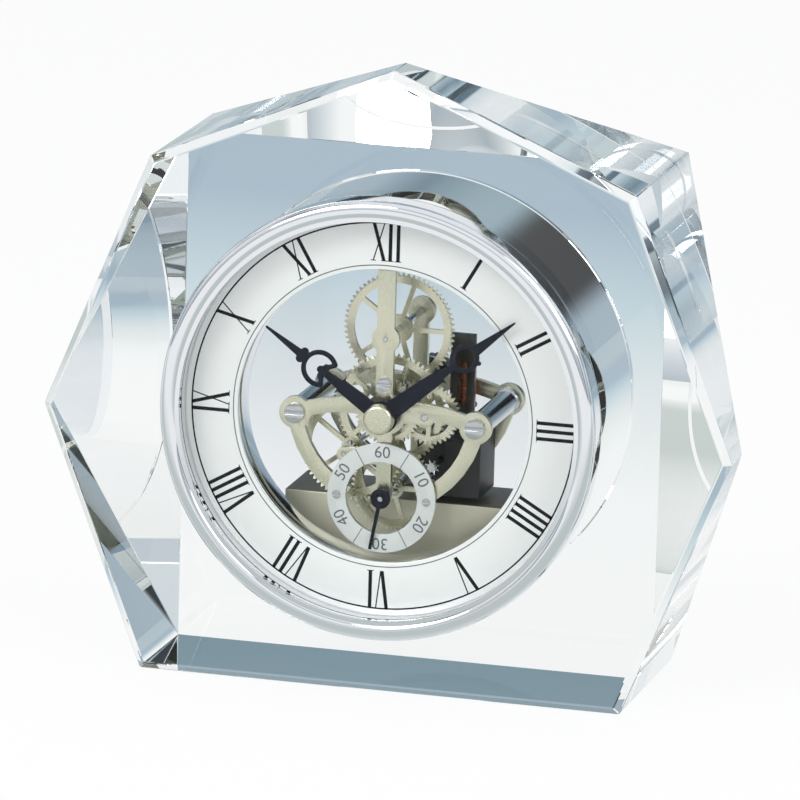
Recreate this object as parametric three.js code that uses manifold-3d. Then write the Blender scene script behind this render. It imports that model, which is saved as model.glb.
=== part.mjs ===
// Crystal trophy clock: a seven-sided crystal block, cut away in three big facets behind, with a
// skeleton clock set in its bore. The gear train stands between two open plates and shows through
// the ring dial. Millimetres, +Z up, the dial faces -Y, origin at the middle of the footprint.
import * as THREE from "three";
import { mergeVertices } from "three/addons/utils/BufferGeometryUtils.js";
import Module from "manifold-3d";

const wasm = await Module();
wasm.setup();

// Crystal block
const BLOCK_HEIGHT = 150;
const BLOCK_DEPTH = 54;
const SIDE_CORNER_HALF_WIDTH = 84;
const SIDE_CORNER_HEIGHT = 63;
const SHOULDER_HALF_WIDTH = 59;
const SHOULDER_HEIGHT = 125;
const BASE_HALF_WIDTH = 59;
const THIN_EDGE_DEPTH = 12;
const FRONT_CHAMFER = 1.8;
const BACK_CHAMFER = 0.8;
const DIAL_CENTRE_HEIGHT = 67.5;
const BORE_CHAMFER = 0.7;

// Fits
const SEAT_GAP = 0.15;
const RUNNING_CLEARANCE = 0.08;
const BORE_CLEARANCE = 0.5;
const PLATE_CLEARANCE = 0.6;
const LAYER_GAP = 0.7;
const HAND_CLEARANCE = 0.5;

// Case, lens and dial
const DRUM_RADIUS = 51.5;
const DRUM_WALL = 1.5;
const DRUM_LENGTH = 22;
const DRUM_FLANGE = 4;
const DRUM_FLANGE_THICKNESS = 1;
const BEZEL_OVERHANG = 1.5;
const BEZEL_FACE_WIDTH = 5;
const BEZEL_LIP = 1.1;
const LENS_THICKNESS = 1.4;
const LENS_SETBACK = 0.7;
const SPACER_WALL = 0.9;
const DIAL_OPENING_RADIUS = 35.4;
const DIAL_THICKNESS = 0.8;
const DIAL_SETBACK = -0.6;
const CUP_WALL = 0.8;
const CUP_DEPTH = 8.6;

// Hands
const HAND_THICKNESS = 0.5;
const MINUTE_HAND_LENGTH = 41;
const MINUTE_BOSS_RADIUS = 3.5;
const MINUTE_ROOT_WIDTH = 4.8;
const MINUTE_WAIST_WIDTH = 3.2;
const MINUTE_NECK_WIDTH = 1.3;
const MINUTE_RING_RADIUS = 3.4;
const MINUTE_BLADE_WIDTH = 2.7;
const HOUR_HAND_LENGTH = 34.7;
const HOUR_BOSS_RADIUS = 3.9;
const HOUR_ROOT_WIDTH = 4;
const HOUR_WAIST_WIDTH = 3.2;
const HOUR_STEM_WIDTH = 1.5;
const HOUR_CRESCENT_RADIUS = 4.5;
const HOUR_BLADE_WIDTH = 2;
const CRESCENT_WALL = 1.1;
const CRESCENT_OPENING = 50;
const TIP_WIDTH = 0.4;
const SPUR_RISE = 0.7;
const SECONDS_HAND_LENGTH = 12.6;
const SECONDS_HUB_RADIUS = 2.4;
const SECONDS_POINTER_WIDTH = 0.9;
const MINUTE_ANGLE = 51.1;
const HOUR_ANGLE = 304.3;
const SECONDS_ANGLE = 190.5;
const NUT_RADIUS = 3.6;
const NUT_LENGTH = 2.4;
const NUT_CHAMFER = 0.5;

// Plates, pillars and bridge
const PLATE_THICKNESS = 1.6;
const PILLAR_LENGTH = 29.5;
const PILLAR_RADIUS = 3.3;
const PILLAR_WAIST_SHARE = 0.86;
const PILLAR_COLLAR = 2.2;
const PILLAR_THREAD_DEPTH = 5;
const SCREW_REACH = 4.5;
const PILLAR_SPAN = 22;
const PILLAR_DROP = 1.5;
const LOBE_RADIUS = 3.9;
const ARM_WIDTH = 3.6;
const HUB_RADIUS = 5;
const BRIDGE_THICKNESS = 1.2;
const BRIDGE_WIDTH = 4.2;
const BRIDGE_BOSS_RADIUS = 3.4;
const BRIDGE_FOOT_HEIGHT = 5.4;
const SCREW_HEAD_RADIUS = 2.5;
const SCREW_HEAD_HEIGHT = 1;
const SCREW_SLOT = 0.7;

// Small seconds dial
const SECONDS_DROP = 20;
const SUBDIAL_RADIUS = 13.2;
const SUBDIAL_OPENING_RADIUS = 8.8;
const SUBDIAL_THICKNESS = 0.6;
const SUBDIAL_STANDOFF = 0.8;
const SUBDIAL_SCREW_RADIUS = 1;

// Gear train: tooth counts, and one module for all but the hour pair
const MODULE = 0.4;
const WHEEL_THICKNESS = 1;
const PINION_OVERHANG = 0.25;
const ADDENDUM = 0.8;
const WHEEL_DEDENDUM = 1.7;
const WHEEL_TIP_SHARE = 0.07;
const LEAF_DEDENDUM = 1.15;
const LEAF_TIP_SHARE = 0.1;
const LEAF_ROOT_SHARE = 0.27;
const CENTRE_WHEEL_TEETH = 64;
const THIRD_PINION_TEETH = 8;
const THIRD_WHEEL_TEETH = 60;
const SECONDS_PINION_TEETH = 8;
const SECONDS_WHEEL_TEETH = 48;
const MOTOR_PINION_TEETH = 8;
const DRIVE_PINION_TEETH = 28;
const GREAT_WHEEL_TEETH = 64;
const CANNON_TEETH = 12;
const MINUTE_WHEEL_TEETH = 36;
const MINUTE_PINION_TEETH = 10;
const HOUR_WHEEL_TEETH = 40;
const MOTOR_DIRECTION = 32;
const ARBOR_RADIUS = 0.8;
const PIVOT_RADIUS = 0.6;
const CENTRE_ARBOR_RADIUS = 1.2;
const HOUR_TUBE_WALL = 0.7;
const RIM_WIDTH = 1.1;
const SPOKE_WIDTH = 1.1;
const LARGE_HUB_RADIUS = 3.3;
const SMALL_HUB_RADIUS = 2.6;

// Motor and battery
const MOTOR_WIDTH = 15.5;
const MOTOR_HEIGHT = 14;
const MOTOR_DEPTH = 14;
const MOTOR_EDGE = 3.6;
const STATOR_THICKNESS = 1.3;
const STATOR_WIDTH = 6;
const STATOR_LENGTH = 24;
const COIL_RADIUS = 2.7;
const COIL_LENGTH = 13;
const HOLDER_HALF_LENGTH = 28.5;
const HOLDER_DEPTH = 20;
const HOLDER_WALL = 0.8;
const CELL_RADIUS = 7.1;
const CELL_LENGTH = 49;
const CELL_TIP_RADIUS = 2.7;
const CELL_TIP_LENGTH = 1.4;
const CELL_CLEARANCE = 0.25;
const CONTACT_THICKNESS = 0.4;
const CONTACT_PLATE_SIZE = 11;
const CONTACT_WIDTH = 6;
const SPRING_BASE_RADIUS = 4.4;
const SPRING_TIP_RADIUS = 2.8;
const SPRING_WIRE_RADIUS = 0.32;
const SPRING_TURNS = 2.5;

// Dust cover and setting knob
const COVER_WALL = 1.5;
const COVER_LENGTH = 19.5;
const KNOB_RADIUS = 5;
const KNOB_LENGTH = 5.5;
const KNOB_RIBS = 20;
const KNOB_RIB_DEPTH = 0.35;
const KNOB_GAP = 0.8;

// Facets of round shapes
const LARGE_SIDES = 48;
const MEDIUM_SIDES = 24;
const SMALL_SIDES = 12;

// Depths along Y, counted backwards from the front face of the block
const dialFront = DIAL_SETBACK;
const dialBack = dialFront + DIAL_THICKNESS;
const hourHandBack = dialFront - HAND_CLEARANCE;
const hourHandFront = hourHandBack - HAND_THICKNESS;
const minuteHandBack = hourHandFront - HAND_CLEARANCE;
const minuteHandFront = minuteHandBack - HAND_THICKNESS;
const nutBack = minuteHandFront - SEAT_GAP;
const nutFront = nutBack - NUT_LENGTH;
const lensBack = nutFront - HAND_CLEARANCE;
const lensFront = lensBack - LENS_THICKNESS;
const bezelFront = lensFront - LENS_SETBACK;
const secondsHandFront = hourHandBack + HAND_CLEARANCE;
const secondsHandBack = secondsHandFront + HAND_THICKNESS;
const subdialFront = secondsHandBack + HAND_CLEARANCE;
const subdialBack = subdialFront + SUBDIAL_THICKNESS;
const frontPlateFront = subdialBack + SUBDIAL_STANDOFF;
const frontPlateBack = frontPlateFront + PLATE_THICKNESS;
const bridgeBack = frontPlateFront - SEAT_GAP;
const bridgeFront = bridgeBack - BRIDGE_THICKNESS;
const backPlateFront = frontPlateBack + PILLAR_LENGTH;
const backPlateBack = backPlateFront + PLATE_THICKNESS;
const layerPitch = WHEEL_THICKNESS + LAYER_GAP;
const layerFront = (n) => frontPlateBack + PLATE_CLEARANCE + n * layerPitch;
const HOUR_LAYER = layerFront(0);
const MINUTE_LAYER = layerFront(1);
const CENTRE_LAYER = layerFront(2);
const THIRD_LAYER = layerFront(3);
const SECONDS_LAYER = layerFront(4);
const GREAT_LAYER = layerFront(5);
const motorFront = backPlateFront - SEAT_GAP - MOTOR_DEPTH;
const drumFront = dialBack + SEAT_GAP;
const drumBack = drumFront + DRUM_LENGTH;
const coverFront = drumBack + SEAT_GAP;
const coverBack = coverFront + COVER_LENGTH;
const knobFront = coverBack + KNOB_GAP;
const knobBack = knobFront + KNOB_LENGTH;
const holderBack = coverBack - COVER_WALL - PLATE_CLEARANCE * 4;
const holderFront = holderBack - HOLDER_DEPTH;

// Radii that follow from the case
const boreRadius = DRUM_RADIUS + BORE_CLEARANCE;
const drumInner = DRUM_RADIUS - DRUM_WALL;
const bezelOuter = DRUM_RADIUS + BEZEL_OVERHANG;
const bezelInner = bezelOuter - BEZEL_FACE_WIDTH;
const lensRadius = bezelInner + BEZEL_LIP;
const dialRadius = lensRadius;
const coverInner = DRUM_RADIUS - COVER_WALL;
const cupInner = DIAL_OPENING_RADIUS;

// Places of the arbors, as [x, z] from the centre of the dial
const centreAt = [0, 0];
const secondsAt = [0, -SECONDS_DROP];
const centreDistance = (a, b, module) => ((a + b) * module) / 2;
const thirdToCentre = centreDistance(THIRD_PINION_TEETH, CENTRE_WHEEL_TEETH, MODULE);
const thirdToSeconds = centreDistance(SECONDS_PINION_TEETH, THIRD_WHEEL_TEETH, MODULE);
const thirdAt = triangleCorner(thirdToCentre, thirdToSeconds, SECONDS_DROP);
const minuteDistance = centreDistance(CANNON_TEETH, MINUTE_WHEEL_TEETH, MODULE);
const HOUR_MODULE = (2 * minuteDistance) / (MINUTE_PINION_TEETH + HOUR_WHEEL_TEETH);
const minuteAt = [minuteDistance, 0];
const greatAt = [0, centreDistance(DRIVE_PINION_TEETH, GREAT_WHEEL_TEETH, MODULE)];
const motorDistance = centreDistance(MOTOR_PINION_TEETH, SECONDS_WHEEL_TEETH, MODULE);
const motorAt = along(secondsAt, MOTOR_DIRECTION, motorDistance);
const pillarsAt = [
  [-PILLAR_SPAN, -PILLAR_DROP],
  [PILLAR_SPAN, -PILLAR_DROP],
];
const subdialScrewReach = (SUBDIAL_RADIUS + SUBDIAL_OPENING_RADIUS) / 2;
const holderBottom = -Math.sqrt((coverInner - 2 * SEAT_GAP) ** 2 - HOLDER_HALF_LENGTH ** 2);
const holderTop = holderBottom + 2 * (CELL_RADIUS + CELL_CLEARANCE + HOLDER_WALL);

// The corner of a triangle that stands left of a vertical base of the given length
function triangleCorner(toTop, toBottom, base) {
  const z = (toBottom ** 2 - toTop ** 2 - base ** 2) / (2 * base);
  return [-Math.sqrt(toTop ** 2 - z ** 2), z];
}

function along([x, z], degrees, distance) {
  const angle = THREE.MathUtils.degToRad(degrees);
  return [x + distance * Math.cos(angle), z + distance * Math.sin(angle)];
}

// Materials
const finish = (color, roughness, metalness) =>
  new THREE.MeshStandardMaterial({ color, roughness, metalness });
const crystal = finish(0xeef4f6, 0.02, 0);
const clearPlastic = finish(0xe9eef0, 0.08, 0);
const chrome = finish(0xc9ccd1, 0.1, 1);
const silvered = finish(0xe6e6e2, 0.35, 0.4);
const champagne = finish(0xcfc8a8, 0.3, 0.9);
const steel = finish(0x8d8f90, 0.25, 1);
const blackHand = finish(0x15161b, 0.3, 0.3);
const darkPlastic = finish(0x1b1c1e, 0.5, 0);
const copper = finish(0x6b3f28, 0.4, 0.6);
const cellSkin = finish(0x3f454c, 0.35, 0.5);

const clock = new THREE.Group();
clock.position.set(0, -(BLOCK_DEPTH + bezelFront) / 2, 0);
const dialGroup = new THREE.Group();
dialGroup.position.set(0, 0, DIAL_CENTRE_HEIGHT);
clock.add(dialGroup);

function add(parent, name, geometry, material, [x, z] = [0, 0]) {
  const mesh = new THREE.Mesh(geometry, material);
  mesh.name = name;
  mesh.position.set(x, 0, z);
  parent.add(mesh);
  return mesh;
}

// Joining and cutting
function solid(geometry) {
  const bare = geometry.clone();
  bare.deleteAttribute("normal");
  bare.deleteAttribute("uv");
  const merged = mergeVertices(bare, 1e-4);
  return new wasm.Manifold(
    new wasm.Mesh({
      numProp: 3,
      vertProperties: merged.attributes.position.array,
      triVerts: new Uint32Array(merged.index.array),
    }),
  );
}

function geometryOf(body) {
  const mesh = body.getMesh();
  const geometry = new THREE.BufferGeometry();
  geometry.setAttribute("position", new THREE.BufferAttribute(mesh.vertProperties, 3));
  geometry.setIndex(new THREE.BufferAttribute(mesh.triVerts, 1));
  geometry.computeVertexNormals();
  return geometry;
}

function join(geometries) {
  return geometryOf(geometries.map(solid).reduce((a, b) => a.add(b)));
}

function cut(geometry, tools) {
  return geometryOf(tools.map(solid).reduce((a, b) => a.subtract(b), solid(geometry)));
}

// A flat shape drawn in X and Z, made solid between two depths
function plate(shape, front, back) {
  const geometry = new THREE.ExtrudeGeometry(shape, { depth: back - front, bevelEnabled: false });
  geometry.rotateX(Math.PI / 2);
  geometry.translate(0, back, 0);
  return geometry;
}

// A turned piece round the Y axis, from a profile of [radius, depth] points
function turned(profile, sides) {
  const points = profile.map(([r, y]) => new THREE.Vector2(r, y));
  const area = THREE.ShapeUtils.area(points);
  const ordered = area < 0 ? points.reverse() : points;
  return new THREE.LatheGeometry([...ordered, ordered[0].clone()], sides);
}

function rod(radius, front, back, sides = SMALL_SIDES) {
  return turned([[0, front], [radius, front], [radius, back], [0, back]], sides);
}

function ring(inner, outer, front, back, sides) {
  return turned([[inner, front], [outer, front], [outer, back], [inner, back]], sides);
}

function block(width, depth, height, x, y, z) {
  return new THREE.BoxGeometry(width, depth, height).translate(x, y, z);
}

function placed(geometry, [x, z]) {
  return geometry.translate(x, 0, z);
}

function circlePoints(radius, sides, [x, z] = [0, 0], phase = 0) {
  const points = [];
  for (let i = 0; i < sides; i++) {
    const angle = phase + (i * 2 * Math.PI) / sides;
    points.push(new THREE.Vector2(x + radius * Math.cos(angle), z + radius * Math.sin(angle)));
  }
  return points;
}

const disc = (radius, at, sides = MEDIUM_SIDES) => new THREE.Shape(circlePoints(radius, sides, at));

// A bar with round ends between two points
function capsule(from, to, width) {
  const direction = Math.atan2(to[1] - from[1], to[0] - from[0]);
  const steps = SMALL_SIDES / 2;
  const points = [];
  const cap = ([x, z], start) => {
    for (let i = 0; i <= steps; i++) {
      const angle = start + (i * Math.PI) / steps;
      points.push(
        new THREE.Vector2(x + (width / 2) * Math.cos(angle), z + (width / 2) * Math.sin(angle)),
      );
    }
  };
  cap(to, direction - Math.PI / 2);
  cap(from, direction + Math.PI / 2);
  return new THREE.Shape(points);
}

// A bowed arm of even width, from one point to another, pulled aside by a control point
function bowedArm(from, pull, to, width) {
  const curve = new THREE.QuadraticBezierCurve(
    new THREE.Vector2(...from),
    new THREE.Vector2(...pull),
    new THREE.Vector2(...to),
  );
  const steps = 6;
  const left = [];
  const right = [];
  for (let i = 0; i <= steps; i++) {
    const at = curve.getPoint(i / steps);
    const tangent = curve.getTangent(i / steps);
    const side = new THREE.Vector2(-tangent.y, tangent.x).multiplyScalar(width / 2);
    left.push(at.clone().add(side));
    right.push(at.clone().sub(side));
  }
  return new THREE.Shape([...right, ...left.reverse()]);
}

// Gears. A tooth stands on the line at its phase angle.
const pitchRadius = (teeth, module) => (teeth * module) / 2;
const rootRadius = (teeth, module) => pitchRadius(teeth, module) - WHEEL_DEDENDUM * module;

// Corners of one tooth, as [share of the pitch from its middle, modules above the pitch circle].
// A wheel's teeth meet in sharp gaps, and a pinion's leaves stand apart on a round root.
const wheelTooth = [
  [-0.5, -WHEEL_DEDENDUM],
  [-WHEEL_TIP_SHARE, ADDENDUM],
  [WHEEL_TIP_SHARE, ADDENDUM],
];
const pinionLeaf = [
  [-LEAF_ROOT_SHARE, -LEAF_DEDENDUM],
  [-LEAF_TIP_SHARE, ADDENDUM],
  [LEAF_TIP_SHARE, ADDENDUM],
  [LEAF_ROOT_SHARE, -LEAF_DEDENDUM],
];

function toothedOutline(teeth, module, phase, corners) {
  const pitch = (2 * Math.PI) / teeth;
  const points = [];
  for (let i = 0; i < teeth; i++) {
    for (const [share, height] of corners) {
      const angle = phase + (i + share) * pitch;
      const radius = pitchRadius(teeth, module) + height * module;
      points.push(new THREE.Vector2(radius * Math.cos(angle), radius * Math.sin(angle)));
    }
  }
  return points;
}

// Phase that puts a gap of the second gear on a tooth of the first where they meet
function meshPhase(first, second) {
  const direction = Math.atan2(second.at[1] - first.at[1], second.at[0] - first.at[0]);
  const firstPitch = (2 * Math.PI) / first.teeth;
  const secondPitch = (2 * Math.PI) / second.teeth;
  const share = (direction - first.phase) / firstPitch;
  return direction + Math.PI - secondPitch * (0.5 - share);
}

// Windows between the spokes of a wheel
function spokeWindows(outer, inner, spokes) {
  const windows = [];
  for (let i = 0; i < spokes; i++) {
    const middle = ((i + 0.5) * 2 * Math.PI) / spokes;
    const half = Math.PI / spokes;
    const outerHalf = half - SPOKE_WIDTH / 2 / outer;
    const innerHalf = half - SPOKE_WIDTH / 2 / inner;
    const points = [];
    for (let k = 0; k <= 4; k++) {
      const angle = middle - outerHalf + (k * outerHalf) / 2;
      points.push(new THREE.Vector2(outer * Math.cos(angle), outer * Math.sin(angle)));
    }
    for (const angle of [middle + innerHalf, middle - innerHalf]) {
      points.push(new THREE.Vector2(inner * Math.cos(angle), inner * Math.sin(angle)));
    }
    windows.push(new THREE.Path(points));
  }
  return windows;
}

function wheel({ teeth, module, phase, front, bore, hub, spokes, tooth = wheelTooth }) {
  const shape = new THREE.Shape(toothedOutline(teeth, module, phase, tooth));
  const rim = rootRadius(teeth, module) - RIM_WIDTH;
  shape.holes.push(new THREE.Path(circlePoints(bore, SMALL_SIDES)));
  if (spokes) shape.holes.push(...spokeWindows(rim, hub, spokes));
  return plate(shape, front, front + WHEEL_THICKNESS);
}

function pinion(teeth, module, phase, front) {
  const shape = new THREE.Shape(toothedOutline(teeth, module, phase, pinionLeaf));
  return plate(shape, front - PINION_OVERHANG, front + WHEEL_THICKNESS + PINION_OVERHANG);
}

// An arbor that runs in both plates on thinner pivots
function arbor(front, back) {
  return turned(
    [
      [0, front],
      [PIVOT_RADIUS, front],
      [PIVOT_RADIUS, frontPlateBack + SEAT_GAP],
      [ARBOR_RADIUS, frontPlateBack + SEAT_GAP],
      [ARBOR_RADIUS, backPlateFront - SEAT_GAP],
      [PIVOT_RADIUS, backPlateFront - SEAT_GAP],
      [PIVOT_RADIUS, back],
      [0, back],
    ],
    SMALL_SIDES,
  );
}

// Train: each gear's place, teeth and phase
const thirdPinion = { at: thirdAt, teeth: THIRD_PINION_TEETH, phase: 0 };
const centreWheel = { at: centreAt, teeth: CENTRE_WHEEL_TEETH };
centreWheel.phase = meshPhase(thirdPinion, centreWheel);
const thirdWheel = { at: thirdAt, teeth: THIRD_WHEEL_TEETH, phase: 0 };
const secondsPinion = { at: secondsAt, teeth: SECONDS_PINION_TEETH };
secondsPinion.phase = meshPhase(thirdWheel, secondsPinion);
const secondsWheel = { at: secondsAt, teeth: SECONDS_WHEEL_TEETH, phase: 0 };
const motorPinion = { at: motorAt, teeth: MOTOR_PINION_TEETH };
motorPinion.phase = meshPhase(secondsWheel, motorPinion);
const drivePinion = { at: centreAt, teeth: DRIVE_PINION_TEETH, phase: 0 };
const greatWheel = { at: greatAt, teeth: GREAT_WHEEL_TEETH };
greatWheel.phase = meshPhase(drivePinion, greatWheel);
const cannonPinion = { at: centreAt, teeth: CANNON_TEETH, phase: 0 };
const minuteWheel = { at: minuteAt, teeth: MINUTE_WHEEL_TEETH };
minuteWheel.phase = meshPhase(cannonPinion, minuteWheel);
const minutePinion = { at: minuteAt, teeth: MINUTE_PINION_TEETH, phase: 0 };
const hourWheel = { at: centreAt, teeth: HOUR_WHEEL_TEETH };
hourWheel.phase = meshPhase(minutePinion, hourWheel);

// The block's outline, from the bottom left corner round to the bottom right
function blockOutline() {
  return [
    [-BASE_HALF_WIDTH, 0],
    [BASE_HALF_WIDTH, 0],
    [SIDE_CORNER_HALF_WIDTH, SIDE_CORNER_HEIGHT],
    [SHOULDER_HALF_WIDTH, SHOULDER_HEIGHT],
    [0, BLOCK_HEIGHT],
    [-SHOULDER_HALF_WIDTH, SHOULDER_HEIGHT],
    [-SIDE_CORNER_HALF_WIDTH, SIDE_CORNER_HEIGHT],
  ].map(([x, z]) => new THREE.Vector2(x, z));
}

// A convex outline moved inwards by an even distance
function inset(points, distance) {
  const count = points.length;
  const normals = points.map((p, i) => {
    const edge = points[(i + 1) % count].clone().sub(p).normalize();
    return new THREE.Vector2(-edge.y, edge.x);
  });
  return points.map((p, i) => {
    const before = normals[(i + count - 1) % count];
    const after = normals[i];
    const share = distance / (1 + before.dot(after));
    return p.clone().add(before.clone().add(after).multiplyScalar(share));
  });
}

// A prism whose outline changes with depth: outlines with equally many corners, one per depth
function loft(sections) {
  const corners = sections[0].outline.length;
  const positions = [];
  for (const { outline, depth } of sections) {
    for (const p of outline) positions.push(p.x, depth, p.y);
  }
  const index = [];
  for (let s = 0; s + 1 < sections.length; s++) {
    for (let i = 0; i < corners; i++) {
      const a = s * corners + i;
      const b = s * corners + ((i + 1) % corners);
      index.push(a, b + corners, b, a, a + corners, b + corners);
    }
  }
  const last = (sections.length - 1) * corners;
  for (let i = 1; i + 1 < corners; i++) {
    index.push(0, i, i + 1);
    index.push(last, last + i + 1, last + i);
  }
  const geometry = new THREE.BufferGeometry();
  geometry.setAttribute("position", new THREE.Float32BufferAttribute(positions, 3));
  geometry.setIndex(index);
  return geometry;
}

// A wedge that cuts one corner away behind: from full depth at the inner line to the thin edge at
// the corner. It is drawn as its section across the block, and spans the block along its edge.
function facetCutter(innerReach, cornerReach, turn, height) {
  const slope = (BLOCK_DEPTH - THIN_EDGE_DEPTH) / (cornerReach - innerReach);
  const margin = 20;
  const outer = cornerReach + margin;
  const section = new THREE.Shape([
    new THREE.Vector2(innerReach - margin, BLOCK_DEPTH + margin * slope),
    new THREE.Vector2(outer, THIN_EDGE_DEPTH - margin * slope),
    new THREE.Vector2(outer, BLOCK_DEPTH + margin * slope),
  ]);
  const length = 2 * BLOCK_HEIGHT;
  const geometry = new THREE.ExtrudeGeometry(section, { depth: length, bevelEnabled: false });
  geometry.translate(0, 0, -length / 2);
  geometry.rotateY(turn);
  return geometry.translate(0, 0, height);
}

function crystalBlock() {
  const outline = blockOutline();
  const body = loft([
    { outline: inset(outline, FRONT_CHAMFER), depth: 0 },
    { outline, depth: FRONT_CHAMFER },
    { outline, depth: BLOCK_DEPTH - BACK_CHAMFER },
    { outline: inset(outline, BACK_CHAMFER), depth: BLOCK_DEPTH },
  ]);
  const overrun = 1;
  const bore = turned(
    [
      [0, -overrun],
      [boreRadius + BORE_CHAMFER + overrun, -overrun],
      [boreRadius, BORE_CHAMFER],
      [boreRadius, BLOCK_DEPTH - BORE_CHAMFER],
      [boreRadius + BORE_CHAMFER + overrun, BLOCK_DEPTH + overrun],
      [0, BLOCK_DEPTH + overrun],
    ],
    LARGE_SIDES,
  );
  return cut(body, [
    facetCutter(SHOULDER_HALF_WIDTH, SIDE_CORNER_HALF_WIDTH, 0, 0),
    facetCutter(SHOULDER_HALF_WIDTH, SIDE_CORNER_HALF_WIDTH, Math.PI, 0),
    facetCutter(SHOULDER_HEIGHT, BLOCK_HEIGHT, -Math.PI / 2, 0),
    placed(bore, [0, DIAL_CENTRE_HEIGHT]),
  ]);
}

// Case pieces round the dial
function bezelRing() {
  const crown = BEZEL_LIP;
  const wall = bezelOuter - crown;
  return turned(
    [
      [bezelInner, bezelFront + LENS_SETBACK * 0.6],
      [bezelInner + crown * 0.6, bezelFront],
      [wall - crown, bezelFront],
      [wall, bezelFront + crown * 0.5],
      [bezelOuter, bezelFront + 2 * crown],
      [bezelOuter, -SEAT_GAP],
      [lensRadius + SEAT_GAP, -SEAT_GAP],
      [lensRadius + SEAT_GAP, lensFront - SEAT_GAP],
      [bezelInner, lensFront - SEAT_GAP],
    ],
    LARGE_SIDES,
  );
}

function caseDrum() {
  const flangeBack = drumFront + DRUM_FLANGE_THICKNESS;
  return turned(
    [
      [drumInner - DRUM_FLANGE, drumFront],
      [DRUM_RADIUS, drumFront],
      [DRUM_RADIUS, drumBack],
      [drumInner, drumBack],
      [drumInner, flangeBack],
      [drumInner - DRUM_FLANGE, flangeBack],
    ],
    LARGE_SIDES,
  );
}

function dustCover() {
  const hole = KNOB_RADIUS + BORE_CLEARANCE;
  const wallFront = coverBack - COVER_WALL;
  return turned(
    [
      [coverInner, coverFront],
      [DRUM_RADIUS, coverFront],
      [DRUM_RADIUS, coverBack - COVER_WALL / 2],
      [DRUM_RADIUS - COVER_WALL / 2, coverBack],
      [hole, coverBack],
      [hole, wallFront],
      [coverInner, wallFront],
    ],
    LARGE_SIDES,
  );
}

function buildCase() {
  add(clock, "crystal_block", crystalBlock(), crystal);
  add(dialGroup, "bezel", bezelRing(), chrome);
  add(dialGroup, "lens", rod(lensRadius, lensFront, lensBack, LARGE_SIDES), clearPlastic);
  const spacer = ring(
    lensRadius - SPACER_WALL,
    lensRadius,
    lensBack + SEAT_GAP,
    dialFront - SEAT_GAP,
    LARGE_SIDES,
  );
  add(dialGroup, "lens_spacer", spacer, chrome);
  add(dialGroup, "case_drum", caseDrum(), chrome);
  const dial = ring(DIAL_OPENING_RADIUS, dialRadius, dialFront, dialBack, LARGE_SIDES);
  add(dialGroup, "dial_ring", dial, silvered);
  const cupFront = dialBack + SEAT_GAP;
  const cup = ring(cupInner, cupInner + CUP_WALL, cupFront, cupFront + CUP_DEPTH, LARGE_SIDES);
  add(dialGroup, "dial_cup", cup, chrome);
  add(dialGroup, "dust_cover", dustCover(), clearPlastic);
}

// Plates, pillars and screws
const hole = (at, radius, front, back) =>
  placed(rod(radius + RUNNING_CLEARANCE, front - 1, back + 1), at);

// The open frame that both plates share: two lobes, bowed arms, and a stem with a hub on it
function frameMembers(front, back) {
  const members = [];
  const member = (shape) => members.push(plate(shape, front, back));
  for (const [x, z] of pillarsAt) {
    const side = Math.sign(x);
    member(disc(LOBE_RADIUS, [x, z]));
    member(bowedArm([x, z], [side * HUB_RADIUS * 2.2, z + HUB_RADIUS], [0, 0], ARM_WIDTH));
    const foot = [side * subdialScrewReach * 0.8, -SECONDS_DROP];
    const elbow = [x - side * ARM_WIDTH / 2, z - SECONDS_DROP * 0.62];
    member(bowedArm([x, z], elbow, foot, ARM_WIDTH));
  }
  member(disc(HUB_RADIUS, centreAt));
  member(capsule(centreAt, secondsAt, ARM_WIDTH));
  member(capsule(thirdAt, [0, thirdAt[1]], ARM_WIDTH));
  return members;
}

function frontPlate() {
  const front = frontPlateFront;
  const back = frontPlateBack;
  const seat = new THREE.Shape(circlePoints(SUBDIAL_RADIUS - 0.6, MEDIUM_SIDES, secondsAt));
  seat.holes.push(
    new THREE.Path(circlePoints(SUBDIAL_OPENING_RADIUS + 0.6, MEDIUM_SIDES, secondsAt)),
  );
  const body = join([
    ...frameMembers(front, back),
    plate(seat, front, back),
    plate(disc(ARM_WIDTH / 2 + 0.6, minuteAt), front, back),
    plate(capsule(centreAt, minuteAt, ARM_WIDTH), front, back),
    plate(capsule(centreAt, [0, BRIDGE_FOOT_HEIGHT + BRIDGE_WIDTH], ARM_WIDTH), front, back),
  ]);
  const tube = CENTRE_ARBOR_RADIUS + RUNNING_CLEARANCE + HOUR_TUBE_WALL;
  return cut(body, [
    hole(centreAt, tube + RUNNING_CLEARANCE, front, back),
    hole(secondsAt, PIVOT_RADIUS, front, back),
    hole(thirdAt, PIVOT_RADIUS, front, back),
    hole(minuteAt, ARBOR_RADIUS, front, back),
    ...pillarsAt.map((at) => hole(at, ARBOR_RADIUS, front, back)),
  ]);
}

function backPlate() {
  const front = backPlateFront;
  const back = backPlateBack;
  const footBottom = [0, holderTop + SEAT_GAP + ARM_WIDTH];
  const foot = new THREE.Shape([
    new THREE.Vector2(-HUB_RADIUS, footBottom[1]),
    new THREE.Vector2(-HUB_RADIUS, holderTop + SEAT_GAP),
    new THREE.Vector2(HUB_RADIUS, holderTop + SEAT_GAP),
    new THREE.Vector2(HUB_RADIUS, footBottom[1]),
  ]);
  const body = join([
    ...frameMembers(front, back),
    plate(disc(BRIDGE_BOSS_RADIUS, greatAt), front, back),
    plate(capsule(centreAt, greatAt, ARM_WIDTH), front, back),
    plate(capsule(secondsAt, footBottom, HUB_RADIUS), front, back),
    plate(foot, front, back),
  ]);
  return cut(body, [
    hole(centreAt, CENTRE_ARBOR_RADIUS, front, back),
    hole(secondsAt, PIVOT_RADIUS, front, back),
    hole(thirdAt, PIVOT_RADIUS, front, back),
    hole(greatAt, PIVOT_RADIUS, front, back),
    ...pillarsAt.map((at) => hole(at, ARBOR_RADIUS, front, back)),
  ]);
}

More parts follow.
